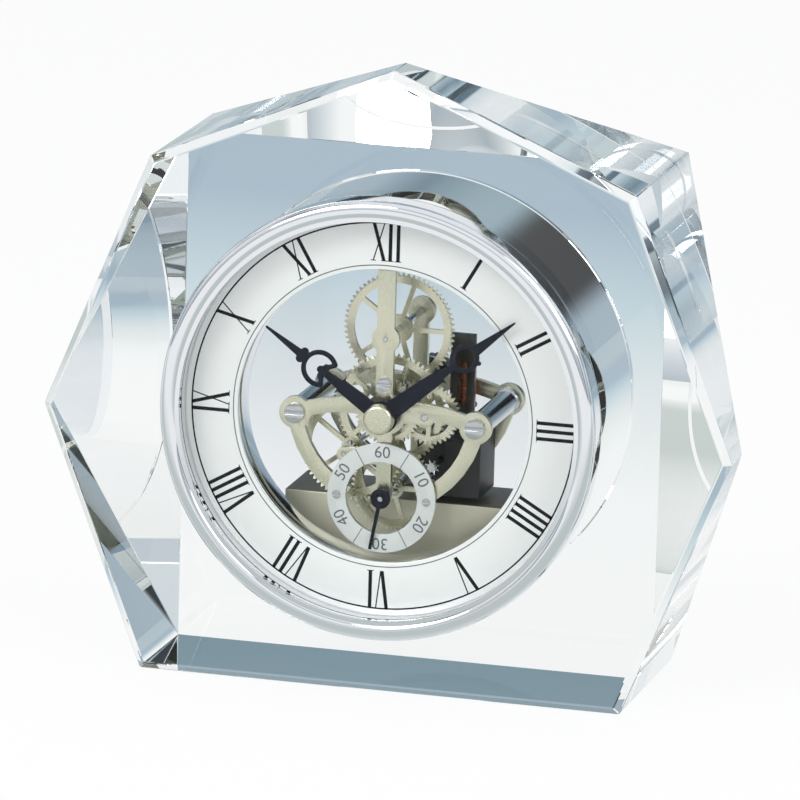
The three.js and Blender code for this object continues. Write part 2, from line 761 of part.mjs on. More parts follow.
// The bar that hangs the movement from the top of the dial's cup
function topBridge() {
  const top = Math.sqrt((cupInner - SEAT_GAP) ** 2 - (BRIDGE_WIDTH / 2) ** 2) - SEAT_GAP;
  const bar = new THREE.Shape([
    new THREE.Vector2(-BRIDGE_WIDTH / 2, BRIDGE_FOOT_HEIGHT),
    new THREE.Vector2(BRIDGE_WIDTH / 2, BRIDGE_FOOT_HEIGHT),
    new THREE.Vector2(BRIDGE_WIDTH / 2, top),
    new THREE.Vector2(-BRIDGE_WIDTH / 2, top),
  ]);
  const body = join([
    plate(bar, bridgeFront, bridgeBack),
    plate(disc(BRIDGE_BOSS_RADIUS, greatAt), bridgeFront, bridgeBack),
  ]);
  return cut(body, [
    hole(greatAt, PIVOT_RADIUS, bridgeFront, bridgeBack),
    hole([0, BRIDGE_FOOT_HEIGHT + BRIDGE_WIDTH / 2], PIVOT_RADIUS, bridgeFront, bridgeBack),
  ]);
}

// A slotted screw: its head stands at the front of a face, its shank runs in behind
function screw(headRadius, headHeight, seat, shankRadius, shankEnd) {
  const direction = Math.sign(shankEnd - seat);
  const headEnd = seat - direction * headHeight;
  const head = rod(headRadius, Math.min(seat, headEnd), Math.max(seat, headEnd));
  const shank = rod(shankRadius, Math.min(headEnd, shankEnd), Math.max(headEnd, shankEnd), 12);
  const slotDepth = headHeight * 0.4;
  const slotAt = headEnd + (direction * slotDepth) / 2;
  const slot = block(3 * headRadius, slotDepth + 0.02, SCREW_SLOT, 0, slotAt - direction * 0.01, 0);
  return cut(join([head, shank]), [slot]);
}

function pillar() {
  const front = frontPlateBack + SEAT_GAP;
  const back = backPlateFront - SEAT_GAP;
  const waist = PILLAR_RADIUS * PILLAR_WAIST_SHARE;
  const collar = PILLAR_COLLAR;
  const bore = ARBOR_RADIUS + RUNNING_CLEARANCE;
  const depth = PILLAR_THREAD_DEPTH;
  return turned(
    [
      [bore, front],
      [PILLAR_RADIUS, front],
      [PILLAR_RADIUS, front + collar],
      [waist, front + collar * 1.3],
      [waist, back - collar * 1.3],
      [PILLAR_RADIUS, back - collar],
      [PILLAR_RADIUS, back],
      [bore, back],
      [bore, back - depth],
      [0, back - depth],
      [0, front + depth],
      [bore, front + depth],
    ],
    SMALL_SIDES,
  );
}

function buildFrame() {
  add(dialGroup, "front_plate", frontPlate(), champagne);
  add(dialGroup, "back_plate", backPlate(), champagne);
  add(dialGroup, "top_bridge", topBridge(), champagne);
  const sides = ["left", "right"];
  pillarsAt.forEach((at, i) => {
    add(dialGroup, `pillar_${sides[i]}`, pillar(), steel, at);
    const frontScrew = screw(
      SCREW_HEAD_RADIUS,
      SCREW_HEAD_HEIGHT,
      frontPlateFront - SEAT_GAP / 2,
      ARBOR_RADIUS,
      frontPlateBack + SCREW_REACH,
    );
    add(dialGroup, `front_screw_${sides[i]}`, frontScrew, steel, at);
    const backScrew = screw(
      SCREW_HEAD_RADIUS,
      SCREW_HEAD_HEIGHT,
      backPlateBack + SEAT_GAP / 2,
      ARBOR_RADIUS,
      backPlateFront - SCREW_REACH,
    );
    add(dialGroup, `back_screw_${sides[i]}`, backScrew, steel, at);
  });
  const bridgeScrew = screw(
    BRIDGE_WIDTH / 2 - 0.3,
    SCREW_HEAD_HEIGHT / 2,
    bridgeFront - SEAT_GAP / 2,
    PIVOT_RADIUS,
    frontPlateFront - SEAT_GAP / 2,
  );
  add(dialGroup, "bridge_screw", bridgeScrew, steel, [0, BRIDGE_FOOT_HEIGHT + BRIDGE_WIDTH / 2]);
}

// Small seconds dial and its screws
function buildSubdial() {
  const shape = new THREE.Shape(circlePoints(SUBDIAL_RADIUS, LARGE_SIDES));
  shape.holes.push(new THREE.Path(circlePoints(SUBDIAL_OPENING_RADIUS, MEDIUM_SIDES)));
  for (const side of [-1, 1]) {
    const at = [side * subdialScrewReach, 0];
    shape.holes.push(
      new THREE.Path(circlePoints(PIVOT_RADIUS + RUNNING_CLEARANCE, SMALL_SIDES, at)),
    );
  }
  add(dialGroup, "seconds_dial", plate(shape, subdialFront, subdialBack), silvered, secondsAt);
  [-1, 1].forEach((side, i) => {
    const body = screw(
      SUBDIAL_SCREW_RADIUS,
      HAND_CLEARANCE * 0.5,
      subdialFront - SEAT_GAP / 3,
      PIVOT_RADIUS,
      frontPlateFront - SEAT_GAP / 2,
    );
    const at = [side * subdialScrewReach, -SECONDS_DROP];
    add(dialGroup, `seconds_dial_screw_${["left", "right"][i]}`, body, steel, at);
  });
}

// Hands, drawn pointing up and then turned clockwise to their hour
function hand(members, holeRadius, front, back, degrees) {
  const body = join(members.map((shape) => plate(shape, front, back)));
  const eye = rod(holeRadius, front - 1, back + 1);
  return cut(body, [eye]).rotateY(THREE.MathUtils.degToRad(degrees));
}

function tapered(fromHeight, fromWidth, toHeight, toWidth) {
  return new THREE.Shape([
    new THREE.Vector2(-fromWidth / 2, fromHeight),
    new THREE.Vector2(fromWidth / 2, fromHeight),
    new THREE.Vector2(toWidth / 2, toHeight),
    new THREE.Vector2(-toWidth / 2, toHeight),
  ]);
}

function loop(radius, wall, height, stretch) {
  const oval = (r) =>
    circlePoints(r, MEDIUM_SIDES).map((p) => new THREE.Vector2(p.x, height + p.y * stretch));
  const shape = new THREE.Shape(oval(radius));
  shape.holes.push(new THREE.Path(oval(radius - wall)));
  return shape;
}

// A thin kite across the hand, whose points rise a little towards the tip
function spurs(height, reach, rise) {
  return new THREE.Shape([
    new THREE.Vector2(0, height - rise),
    new THREE.Vector2(reach, height + rise / 2),
    new THREE.Vector2(0, height + rise),
    new THREE.Vector2(-reach, height + rise / 2),
  ]);
}

// A ring that stands open towards the hub, whose horns turn in to the given points
function crescent(radius, wall, height, opening, turnedIn) {
  const half = THREE.MathUtils.degToRad(opening);
  const first = -Math.PI / 2 + half;
  const sweep = 2 * (Math.PI - half);
  const edge = (r) => {
    const points = [];
    for (let i = 0; i <= MEDIUM_SIDES; i++) {
      const angle = first + (i * sweep) / MEDIUM_SIDES;
      points.push(new THREE.Vector2(r * Math.cos(angle), height + r * Math.sin(angle)));
    }
    return points;
  };
  const middle = radius - wall / 2;
  const horns = [first, first + sweep].map((angle, i) =>
    capsule([middle * Math.cos(angle), height + middle * Math.sin(angle)], turnedIn[i], wall),
  );
  return [new THREE.Shape([...edge(radius), ...edge(radius - wall).reverse()]), ...horns];
}

// A knot of two round lobes across the hand
function lobes(height, reach, radius) {
  return [-1, 1].map((side) => disc(radius, [side * reach, height], SMALL_SIDES));
}

function minuteHand() {
  const length = MINUTE_HAND_LENGTH;
  const spursAt = length * 0.44;
  const ringAt = length * 0.627;
  const radius = MINUTE_RING_RADIUS;
  const shoulder = ringAt + radius * 0.65;
  const bladeAt = ringAt + radius * 0.85;
  return [
    disc(MINUTE_BOSS_RADIUS, centreAt),
    tapered(0, MINUTE_ROOT_WIDTH, spursAt, MINUTE_WAIST_WIDTH),
    spurs(spursAt, MINUTE_WAIST_WIDTH * 0.75, SPUR_RISE),
    tapered(spursAt, MINUTE_WAIST_WIDTH * 0.7, ringAt - radius * 0.8, MINUTE_NECK_WIDTH),
    loop(radius, CRESCENT_WALL, ringAt, 1.1),
    ...lobes(shoulder, radius * 0.85, MINUTE_NECK_WIDTH * 0.4),
    tapered(bladeAt, MINUTE_BLADE_WIDTH, length, TIP_WIDTH),
  ];
}

function hourHand() {
  const length = HOUR_HAND_LENGTH;
  const spursAt = length * 0.345;
  const headAt = length * 0.5;
  const ringAt = length * 0.535;
  const knotRadius = HOUR_BLADE_WIDTH / 2;
  const knotAt = ringAt + HOUR_CRESCENT_RADIUS + knotRadius * 0.7;
  const headRadius = HOUR_STEM_WIDTH * 0.6;
  const headReach = headRadius * 1.3;
  const headLobes = [[headReach, headAt], [-headReach, headAt]];
  return [
    disc(HOUR_BOSS_RADIUS, centreAt),
    tapered(0, HOUR_ROOT_WIDTH, spursAt, HOUR_WAIST_WIDTH),
    spurs(spursAt, HOUR_WAIST_WIDTH * 0.8, SPUR_RISE),
    tapered(spursAt, HOUR_WAIST_WIDTH * 0.8, headAt, HOUR_STEM_WIDTH),
    ...lobes(headAt, headReach, headRadius),
    disc(headRadius, [0, headAt + headRadius], SMALL_SIDES),
    ...crescent(HOUR_CRESCENT_RADIUS, CRESCENT_WALL, ringAt, CRESCENT_OPENING, headLobes),
    capsule([-knotRadius, knotAt], [knotRadius, knotAt], 2 * knotRadius),
    tapered(knotAt, HOUR_BLADE_WIDTH, length, TIP_WIDTH),
  ];
}

function secondsHand() {
  return [
    disc(SECONDS_HUB_RADIUS, centreAt),
    tapered(0, SECONDS_POINTER_WIDTH, SECONDS_HAND_LENGTH, SECONDS_POINTER_WIDTH * 0.8),
  ];
}

// Arbors with their wheels
function buildThirdArbor() {
  const body = join([
    arbor(frontPlateFront, backPlateBack),
    pinion(THIRD_PINION_TEETH, MODULE, thirdPinion.phase, CENTRE_LAYER),
  ]);
  add(dialGroup, "third_arbor", body, steel, thirdAt);
  const geometry = wheel({
    teeth: THIRD_WHEEL_TEETH,
    module: MODULE,
    phase: thirdWheel.phase,
    front: THIRD_LAYER,
    bore: ARBOR_RADIUS + RUNNING_CLEARANCE,
    hub: SMALL_HUB_RADIUS,
    spokes: 5,
  });
  add(dialGroup, "third_wheel", geometry, champagne, thirdAt);
}

function buildCentreArbor() {
  const axle = rod(CENTRE_ARBOR_RADIUS, nutBack - NUT_LENGTH / 2, knobBack - 1.5);
  const shaft = join([axle, pinion(CANNON_TEETH, MODULE, cannonPinion.phase, MINUTE_LAYER)]);
  add(dialGroup, "centre_arbor", shaft, steel);
  const bore = CENTRE_ARBOR_RADIUS + RUNNING_CLEARANCE;
  const big = wheel({
    teeth: CENTRE_WHEEL_TEETH,
    module: MODULE,
    phase: centreWheel.phase,
    front: CENTRE_LAYER,
    bore,
    hub: LARGE_HUB_RADIUS,
    spokes: 5,
  });
  add(dialGroup, "centre_wheel", big, champagne);
  const small = wheel({
    teeth: DRIVE_PINION_TEETH,
    module: MODULE,
    phase: drivePinion.phase,
    front: GREAT_LAYER,
    bore,
    tooth: pinionLeaf,
  });
  add(dialGroup, "drive_pinion", small, steel);
  const pointer = hand(minuteHand(), bore, minuteHandFront, minuteHandBack, MINUTE_ANGLE);
  add(dialGroup, "minute_hand", pointer, blackHand);
  add(dialGroup, "hand_nut", handNut(bore), champagne);
  add(dialGroup, "setting_knob", settingKnob(), darkPlastic);
}

function handNut(socket) {
  const socketEnd = nutBack - NUT_LENGTH / 2 - SEAT_GAP;
  return turned(
    [
      [0, nutFront],
      [NUT_RADIUS - NUT_CHAMFER, nutFront],
      [NUT_RADIUS, nutFront + NUT_CHAMFER],
      [NUT_RADIUS, nutBack],
      [socket, nutBack],
      [socket, socketEnd],
      [0, socketEnd],
    ],
    MEDIUM_SIDES,
  );
}

function settingKnob() {
  const points = [];
  for (let i = 0; i < KNOB_RIBS; i++) {
    const pitch = (2 * Math.PI) / KNOB_RIBS;
    for (const [share, radius] of [[-0.25, KNOB_RADIUS], [0.25, KNOB_RADIUS - KNOB_RIB_DEPTH]]) {
      const angle = (i + share) * pitch;
      points.push(new THREE.Vector2(radius * Math.cos(angle), radius * Math.sin(angle)));
    }
  }
  const grip = plate(new THREE.Shape(points), knobFront, knobBack);
  const socket = rod(CENTRE_ARBOR_RADIUS + RUNNING_CLEARANCE, knobFront - 1, knobBack - 1.3);
  return cut(grip, [socket]);
}

function buildHourWheel() {
  const inner = CENTRE_ARBOR_RADIUS + 2 * RUNNING_CLEARANCE;
  const outer = inner + HOUR_TUBE_WALL - RUNNING_CLEARANCE;
  const tubeFront = hourHandFront - HAND_CLEARANCE / 2;
  const tube = ring(inner, outer, tubeFront, HOUR_LAYER + WHEEL_THICKNESS, SMALL_SIDES);
  const gear = wheel({
    teeth: HOUR_WHEEL_TEETH,
    module: HOUR_MODULE,
    phase: hourWheel.phase,
    front: HOUR_LAYER,
    bore: inner,
    hub: LARGE_HUB_RADIUS,
    spokes: 4,
  });
  add(dialGroup, "hour_wheel", join([tube, gear]), champagne);
  const front = hourHandFront;
  const eye = outer + RUNNING_CLEARANCE;
  const pointer = hand(hourHand(), eye, front, hourHandBack, HOUR_ANGLE);
  add(dialGroup, "hour_hand", pointer, blackHand);
}

function buildMinuteWheel() {
  const stud = turned(
    [
      [0, frontPlateFront],
      [ARBOR_RADIUS, frontPlateFront],
      [ARBOR_RADIUS, MINUTE_LAYER + WHEEL_THICKNESS + LAYER_GAP / 2],
      [0, MINUTE_LAYER + WHEEL_THICKNESS + LAYER_GAP / 2],
    ],
    SMALL_SIDES,
  );
  add(dialGroup, "minute_stud", stud, steel, minuteAt);
  const gear = wheel({
    teeth: MINUTE_WHEEL_TEETH,
    module: MODULE,
    phase: minuteWheel.phase,
    front: MINUTE_LAYER,
    bore: ARBOR_RADIUS + RUNNING_CLEARANCE,
    hub: SMALL_HUB_RADIUS,
    spokes: 4,
  });
  const leaf = new THREE.Shape(
    toothedOutline(MINUTE_PINION_TEETH, HOUR_MODULE, minutePinion.phase, pinionLeaf),
  );
  leaf.holes.push(new THREE.Path(circlePoints(ARBOR_RADIUS + RUNNING_CLEARANCE, SMALL_SIDES)));
  const pinionBody = plate(leaf, HOUR_LAYER - PINION_OVERHANG, MINUTE_LAYER + WHEEL_THICKNESS / 2);
  add(dialGroup, "minute_wheel", join([gear, pinionBody]), champagne, minuteAt);
}

function buildGreatWheel() {
  add(dialGroup, "great_arbor", arbor(bridgeFront, backPlateBack), steel, greatAt);
  const geometry = wheel({
    teeth: GREAT_WHEEL_TEETH,
    module: MODULE,
    phase: greatWheel.phase,
    front: GREAT_LAYER,
    bore: ARBOR_RADIUS + RUNNING_CLEARANCE,
    hub: LARGE_HUB_RADIUS,
    spokes: 5,
  });
  add(dialGroup, "great_wheel", geometry, champagne, greatAt);
}

function buildSecondsArbor() {
  const body = join([
    arbor(secondsHandFront - HAND_CLEARANCE / 4, backPlateBack),
    pinion(SECONDS_PINION_TEETH, MODULE, secondsPinion.phase, THIRD_LAYER),
  ]);
  add(dialGroup, "seconds_arbor", body, steel, secondsAt);
  const geometry = wheel({
    teeth: SECONDS_WHEEL_TEETH,
    module: MODULE,
    phase: secondsWheel.phase,
    front: SECONDS_LAYER,
    bore: ARBOR_RADIUS + RUNNING_CLEARANCE,
    hub: SMALL_HUB_RADIUS,
    spokes: 5,
  });
  add(dialGroup, "seconds_wheel", geometry, champagne, secondsAt);
  const eye = PIVOT_RADIUS + RUNNING_CLEARANCE;
  const front = secondsHandFront;
  const pointer = hand(secondsHand(), eye, front, secondsHandBack, SECONDS_ANGLE);
  add(dialGroup, "seconds_hand", pointer, blackHand, secondsAt);
}

// Stepper motor: a closed module whose output pinion drives the seconds wheel
function buildMotor() {
  const bottom = holderTop + 1.6;
  const left = MOTOR_EDGE;
  const middle = [left + MOTOR_WIDTH / 2, bottom + MOTOR_HEIGHT / 2];
  const depthMiddle = motorFront + MOTOR_DEPTH / 2;
  const housing = block(MOTOR_WIDTH, MOTOR_DEPTH, MOTOR_HEIGHT, middle[0], depthMiddle, middle[1]);
  const socketDepth = 2;
  const socket = rod(ARBOR_RADIUS + RUNNING_CLEARANCE, motorFront - 1, motorFront + socketDepth);
  const rail = block(MOTOR_WIDTH + 2, 1, 1, middle[0], motorFront, middle[1] + MOTOR_HEIGHT / 2);
  const body = cut(housing, [placed(socket, motorAt), rail]);
  add(dialGroup, "motor_module", body, darkPlastic);
  const shaft = join([
    rod(ARBOR_RADIUS, SECONDS_LAYER - PINION_OVERHANG, motorFront + socketDepth - SEAT_GAP),
    pinion(MOTOR_PINION_TEETH, MODULE, motorPinion.phase, SECONDS_LAYER),
  ]);
  add(dialGroup, "motor_pinion", shaft, steel, motorAt);
  const stemLeft = middle[0] - STATOR_WIDTH / 2 + 1;
  const stemBottom = bottom + MOTOR_HEIGHT + SEAT_GAP;
  const coilAt = [stemLeft + STATOR_WIDTH / 2, stemBottom + STATOR_LENGTH / 2];
  const stem = new THREE.Shape([
    new THREE.Vector2(stemLeft, stemBottom),
    new THREE.Vector2(stemLeft + STATOR_WIDTH, stemBottom),
    new THREE.Vector2(stemLeft + STATOR_WIDTH, stemBottom + STATOR_LENGTH),
    new THREE.Vector2(stemLeft, stemBottom + STATOR_LENGTH),
  ]);
  const slot = capsule(
    [coilAt[0], coilAt[1] - COIL_LENGTH / 2 + 2],
    [coilAt[0], coilAt[1] + COIL_LENGTH / 2 - 2],
    STATOR_WIDTH / 3,
  );
  stem.holes.push(new THREE.Path(slot.getPoints()));
  const coilBack = backPlateFront - SEAT_GAP;
  const stemBack = coilBack - 2 * COIL_RADIUS - SEAT_GAP;
  add(dialGroup, "stator", plate(stem, stemBack - STATOR_THICKNESS, stemBack), steel);
  const coilDepth = coilBack - COIL_RADIUS;
  const core = new THREE.CylinderGeometry(COIL_RADIUS * 0.85, COIL_RADIUS * 0.85, COIL_LENGTH, 20);
  const flanges = [-1, 1].map((side) => {
    const cheek = new THREE.CylinderGeometry(COIL_RADIUS, COIL_RADIUS, 0.8, 20);
    return cheek.translate(0, side * (COIL_LENGTH / 2 - 0.4), 0);
  });
  const winding = join([core, ...flanges]).rotateX(Math.PI / 2);
  add(dialGroup, "motor_coil", winding.translate(0, coilDepth, 0), copper, coilAt);
}

// Battery holder, open behind, with its cell and contacts
function buildBattery() {
  const height = holderTop - holderBottom;
  const middle = (holderTop + holderBottom) / 2;
  const depthMiddle = (holderFront + holderBack) / 2;
  const shell = block(2 * HOLDER_HALF_LENGTH, HOLDER_DEPTH, height, 0, depthMiddle, middle);
  const roomLength = 2 * (HOLDER_HALF_LENGTH - HOLDER_WALL);
  const room = block(
    roomLength,
    HOLDER_DEPTH,
    height - 2 * HOLDER_WALL,
    0,
    depthMiddle + HOLDER_WALL,
    middle,
  );
  add(dialGroup, "battery_holder", cut(shell, [room]), champagne);
  const cellDepth = holderFront + HOLDER_WALL + CELL_CLEARANCE + CELL_RADIUS;
  const can = new THREE.CylinderGeometry(CELL_RADIUS, CELL_RADIUS, CELL_LENGTH, MEDIUM_SIDES);
  const tip = new THREE.CylinderGeometry(
    CELL_TIP_RADIUS,
    CELL_TIP_RADIUS,
    CELL_TIP_LENGTH + 1,
    SMALL_SIDES,
  ).translate(0, CELL_LENGTH / 2 + CELL_TIP_LENGTH / 2 - 0.5, 0);
  const cell = join([can, tip]).rotateZ(-Math.PI / 2).translate(0, cellDepth, 0);
  add(dialGroup, "battery_cell", cell, cellSkin, [0, middle]);
  const roomEnd = roomLength / 2 - SEAT_GAP;
  const positive = positiveContact(roomEnd, cellDepth);
  add(dialGroup, "contact_positive", positive, steel, [0, middle]);
  add(dialGroup, "contact_spring", contactSpring(roomEnd, cellDepth), steel, [0, middle]);
}

const contactPlate = (x, depth) =>
  block(CONTACT_THICKNESS, CONTACT_PLATE_SIZE, CONTACT_PLATE_SIZE, x, depth, 0);

// A folded strip between the end wall and the cell's tip, on its contact plate
function positiveContact(reach, depth) {
  const tipEnd = CELL_LENGTH / 2 + CELL_TIP_LENGTH + SEAT_GAP;
  const plateMiddle = reach - CONTACT_THICKNESS / 2;
  const stripMiddle = tipEnd + CONTACT_THICKNESS / 2;
  const strip = block(CONTACT_THICKNESS, CONTACT_WIDTH, CONTACT_WIDTH, stripMiddle, depth, 0);
  const fold = block(
    reach - tipEnd,
    CONTACT_WIDTH,
    CONTACT_THICKNESS,
    (reach + tipEnd) / 2,
    depth,
    (CONTACT_THICKNESS - CONTACT_WIDTH) / 2,
  );
  return join([contactPlate(plateMiddle, depth), fold, strip]);
}

// A conical spring that presses on the flat end of the cell, on its contact plate
function contactSpring(reach, depth) {
  const length = reach - CELL_LENGTH / 2 - SEAT_GAP - CONTACT_THICKNESS;
  class Coil extends THREE.Curve {
    getPoint(t, target = new THREE.Vector3()) {
      const angle = t * SPRING_TURNS * 2 * Math.PI;
      const radius = SPRING_BASE_RADIUS + (SPRING_TIP_RADIUS - SPRING_BASE_RADIUS) * t;
      const x = -reach + CONTACT_THICKNESS + t * (length - SPRING_WIRE_RADIUS);
      return target.set(x, depth + radius * Math.cos(angle), radius * Math.sin(angle));
    }
  }
  const wire = new THREE.Shape(circlePoints(SPRING_WIRE_RADIUS, 5));
  const geometry = new THREE.ExtrudeGeometry(wire, { steps: 20, extrudePath: new Coil() });
  return join([geometry, contactPlate(-reach + CONTACT_THICKNESS / 2, depth)]);
}

buildCase();
buildFrame();
buildSubdial();
buildThirdArbor();
buildCentreArbor();
buildHourWheel();
buildMinuteWheel();
buildGreatWheel();
buildSecondsArbor();
buildMotor();
buildBattery();

export default clock;
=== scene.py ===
"""Looks of a crystal desk clock: a faceted clear block with a skeleton clock set in its bore.

Laid out as a Blender add-on. One operator makes each group of pieces, and main calls them in order.
Lengths are in metres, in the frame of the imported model: +X right, the dial faces -Y, +Z up.
"""

import math

import bmesh
import bpy
from mathutils import Matrix, Vector


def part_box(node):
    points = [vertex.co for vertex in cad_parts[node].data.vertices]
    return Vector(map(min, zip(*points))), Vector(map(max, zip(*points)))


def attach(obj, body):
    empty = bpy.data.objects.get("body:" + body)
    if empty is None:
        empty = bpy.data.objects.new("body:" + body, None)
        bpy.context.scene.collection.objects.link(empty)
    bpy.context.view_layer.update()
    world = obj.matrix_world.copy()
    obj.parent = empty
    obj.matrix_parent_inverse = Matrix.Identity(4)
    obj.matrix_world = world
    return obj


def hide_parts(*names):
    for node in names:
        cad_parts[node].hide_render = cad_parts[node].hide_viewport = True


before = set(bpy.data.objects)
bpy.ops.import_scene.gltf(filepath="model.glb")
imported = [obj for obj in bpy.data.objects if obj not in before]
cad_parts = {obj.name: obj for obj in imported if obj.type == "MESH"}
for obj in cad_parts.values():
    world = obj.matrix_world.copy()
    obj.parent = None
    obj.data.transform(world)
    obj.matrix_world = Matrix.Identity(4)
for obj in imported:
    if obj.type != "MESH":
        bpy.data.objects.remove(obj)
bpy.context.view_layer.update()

bl_info = {
    "name": "Crystal desk clock",
    "version": (1, 0, 0),
    "blender": (4, 5, 0),
    "location": "3D View > Sidebar > Clock",
    "description": "Builds a faceted crystal clock with an open gear train",
    "category": "Object",
}

MM = 0.001

# The angle between faces past which an edge is sharp
SMOOTH_ANGLE = math.radians(32)

# The group socket that suits each type of default
SOCKETS = {int: "Int", float: "Float", tuple: "Vector", type(None): "Material"}


def low(node):
    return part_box(node)[0]


def high(node):
    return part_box(node)[1]


def depths(node):
    return low(node).y, high(node).y


def middle(node):
    return (low(node) + high(node)) / 2


def radius_of(node):
    return (high(node).x - low(node).x) / 2


DIAL = middle("bezel")
SMALL_DIAL = middle("seconds_dial")


# Sizes and colours that a user would change

def length(name, description, default):
    return bpy.props.FloatProperty(
        name=name, description=description, default=default, subtype="DISTANCE", unit="LENGTH"
    )


def colour(name, description, default):
    return bpy.props.FloatVectorProperty(
        name=name, description=description, default=default, subtype="COLOR", size=3, min=0, max=1
    )


class ClockSizes(bpy.types.PropertyGroup):
    """Sizes of the clock's looks"""

    facet_chamfer: length("Front chamfer", "Polished chamfer round the front face", 1.8 * MM)
    arris: length("Arris", "Polished edge between the other faces", 0.35 * MM)
    shoulder_reach: length("Shoulder reach", "Half width where the rear facets start", 59 * MM)
    shoulder_height: length("Shoulder height", "Height of the two upper corners", 125 * MM)
    side_height: length("Side corner height", "Height of the left and right corners", 63 * MM)
    thin_edge: length("Thin edge", "Depth left at a corner", 12 * MM)
    bore_gap: length("Bore gap", "Air between the insert and the block", 0.5 * MM)
    numeral_height: length("Numeral height", "Height of the hour numerals", 9.2 * MM)
    numeral_radius: length("Numeral radius", "Numerals' distance from the centre", 42 * MM)
    numeral_stroke: length("Numeral stroke", "Width of a thick stroke", 0.86 * MM)
    print_thickness: length("Ink thickness", "Thickness of printed marks", 0.03 * MM)
    small_text: length("Small numerals", "Height of the small dial's figures", 2.9 * MM)
    plate_edge: length("Plate edge", "Rounded edge of the plates", 0.14 * MM)
    spoke_width: length("Spoke width", "Width of a wheel's spokes", 1.1 * MM)


class ClockColours(bpy.types.PropertyGroup):
    """Colours of the clock's finishes"""

    crystal: colour("Crystal", "Tint of the clear block", (0.972, 0.987, 0.984))
    backdrop: colour("Backdrop", "Far backdrop, seen through the glass", (0.13, 0.215, 0.27))
    backdrop_middle: colour("Backdrop middle", "Backdrop half way", (0.52, 0.65, 0.71))
    chrome: colour("Chrome", "Plating of the case", (0.80, 0.82, 0.85))
    silver: colour("Dial", "Silvered dial", (0.83, 0.855, 0.835))
    grey_silver: colour("Small dial", "Silvered small dial", (0.62, 0.66, 0.64))
    champagne: colour("Champagne", "Plating of the plates and wheels", (0.67, 0.66, 0.52))
    steel: colour("Steel", "Arbors, pillars and screws", (0.55, 0.57, 0.58))
    lacquer: colour("Lacquer", "Black of the hands", (0.012, 0.014, 0.022))
    ink: colour("Ink", "Black of the numerals", (0.015, 0.017, 0.02))
    moulding: colour("Moulding", "Dark plastic", (0.02, 0.021, 0.022))
    copper: colour("Copper", "Enamelled wire", (0.35, 0.12, 0.05))
    sleeve: colour("Sleeve", "Cell's plain sleeve", (0.05, 0.06, 0.08))


def sizes():
    return bpy.context.scene.clock_sizes


def colours():
    return bpy.context.scene.clock_colours


def darker(value, share):
    return tuple(channel * share for channel in value)


# Node helpers, for materials and geometry alike

def once(store):
    """Makes a material or a tree on the first call and finds it by its name later. The name is
    the first value given, or else the maker's own."""
    def wrap(make):
        def fetch(*given):
            name = given[0] if given else make.__name__
            return getattr(bpy.data, store).get(name) or make(*given)
        return fetch
    return wrap


def feed(tree, socket, value):
    """Links an output to a socket, or sets the socket to a value."""
    if isinstance(value, bpy.types.NodeSocket):
        tree.links.new(value, socket)
    else:
        socket.default_value = (*value, 1) if socket.type == "RGBA" else value


def add(tree, kind, settings=None, **inputs):
    """A new node with its settings and its inputs, in whose names _ stands for a space."""
    node = tree.nodes.new(kind)
    for title, value in (settings or {}).items():
        setattr(node, title, value)
    for title, value in inputs.items():
        feed(tree, node.inputs[title.replace("_", " ")], value)
    return node


def calc(tree, operation, *values, kind="ShaderNodeMath", result=0):
    node = add(tree, kind, {"operation": operation})
    for socket, value in zip(node.inputs, values):
        feed(tree, socket, value)
    return node.outputs[result]


def times(tree, first, second):
    return calc(tree, "MULTIPLY", first, second)


def vector_calc(tree, operation, *values, result="Vector"):
    return calc(tree, operation, *values, kind="ShaderNodeVectorMath", result=result)


def vector(tree, x=0, y=0, z=0):
    return add(tree, "ShaderNodeCombineXYZ", X=x, Y=y, Z=z).outputs[0]


def split(tree, value):
    return add(tree, "ShaderNodeSeparateXYZ", Vector=value).outputs


def place(tree, kind="Object"):
    return add(tree, "ShaderNodeTexCoord").outputs[kind]


def spread(tree, value, first, last, least=0.0, most=1.0, shape="SMOOTHSTEP"):
    """A value between two ends, brought between two others."""
    node = add(
        tree, "ShaderNodeMapRange", {"interpolation_type": shape},
        Value=value, From_Min=first, From_Max=last, To_Min=least, To_Max=most,
    )
    return node.outputs["Result"]


def mix_colours(tree, amount, first, second, kind="MIX"):
    settings = {"data_type": "RGBA", "blend_type": kind}
    return add(tree, "ShaderNodeMix", settings, Factor=amount, A=first, B=second).outputs["Result"]


def mix_shaders(tree, amount, first, second):
    mix = add(tree, "ShaderNodeMixShader", Fac=amount)
    feed(tree, mix.inputs[1], first.outputs[0])
    feed(tree, mix.inputs[2], second.outputs[0])
    return mix


def ramp(tree, value, stops):
    """Colours at positions along a value."""
    node = add(tree, "ShaderNodeValToRGB", Fac=value)
    elements = node.color_ramp.elements
    elements[0].position, elements[-1].position = stops[0][0], stops[-1][0]
    for position, _ in stops[1:-1]:
        elements.new(position)
    for element, (_, tone) in zip(elements, stops):
        element.color = (*tone, 1)
    return node.outputs["Color"]


def new_group(kind, name, inputs, output_kind, *outputs):
    """A node group, the outputs of its input node and the inputs of its output node."""
    tree = bpy.data.node_groups.new(name, kind)
    for title, value in inputs.items():
        title, socket_kind = title.replace("_", " "), "NodeSocket" + SOCKETS[type(value)]
        socket = tree.interface.new_socket(title, in_out="INPUT", socket_type=socket_kind)
        if value is not None:
            socket.default_value = value
    for title in outputs:
        tree.interface.new_socket(title, in_out="OUTPUT", socket_type=output_kind)
    return tree, tree.nodes.new("NodeGroupInput").outputs, tree.nodes.new("NodeGroupOutput").inputs


# Surface effects

def new_effect(name, extra, **own_inputs):
    """A shader group that puts out a roughness between Low and High, a height and one more value."""
    inputs = {**own_inputs, "Low": 0.2, "High": 0.3}
    return new_group("ShaderNodeTree", name, inputs, "NodeSocketFloat", "Roughness", "Height", extra)


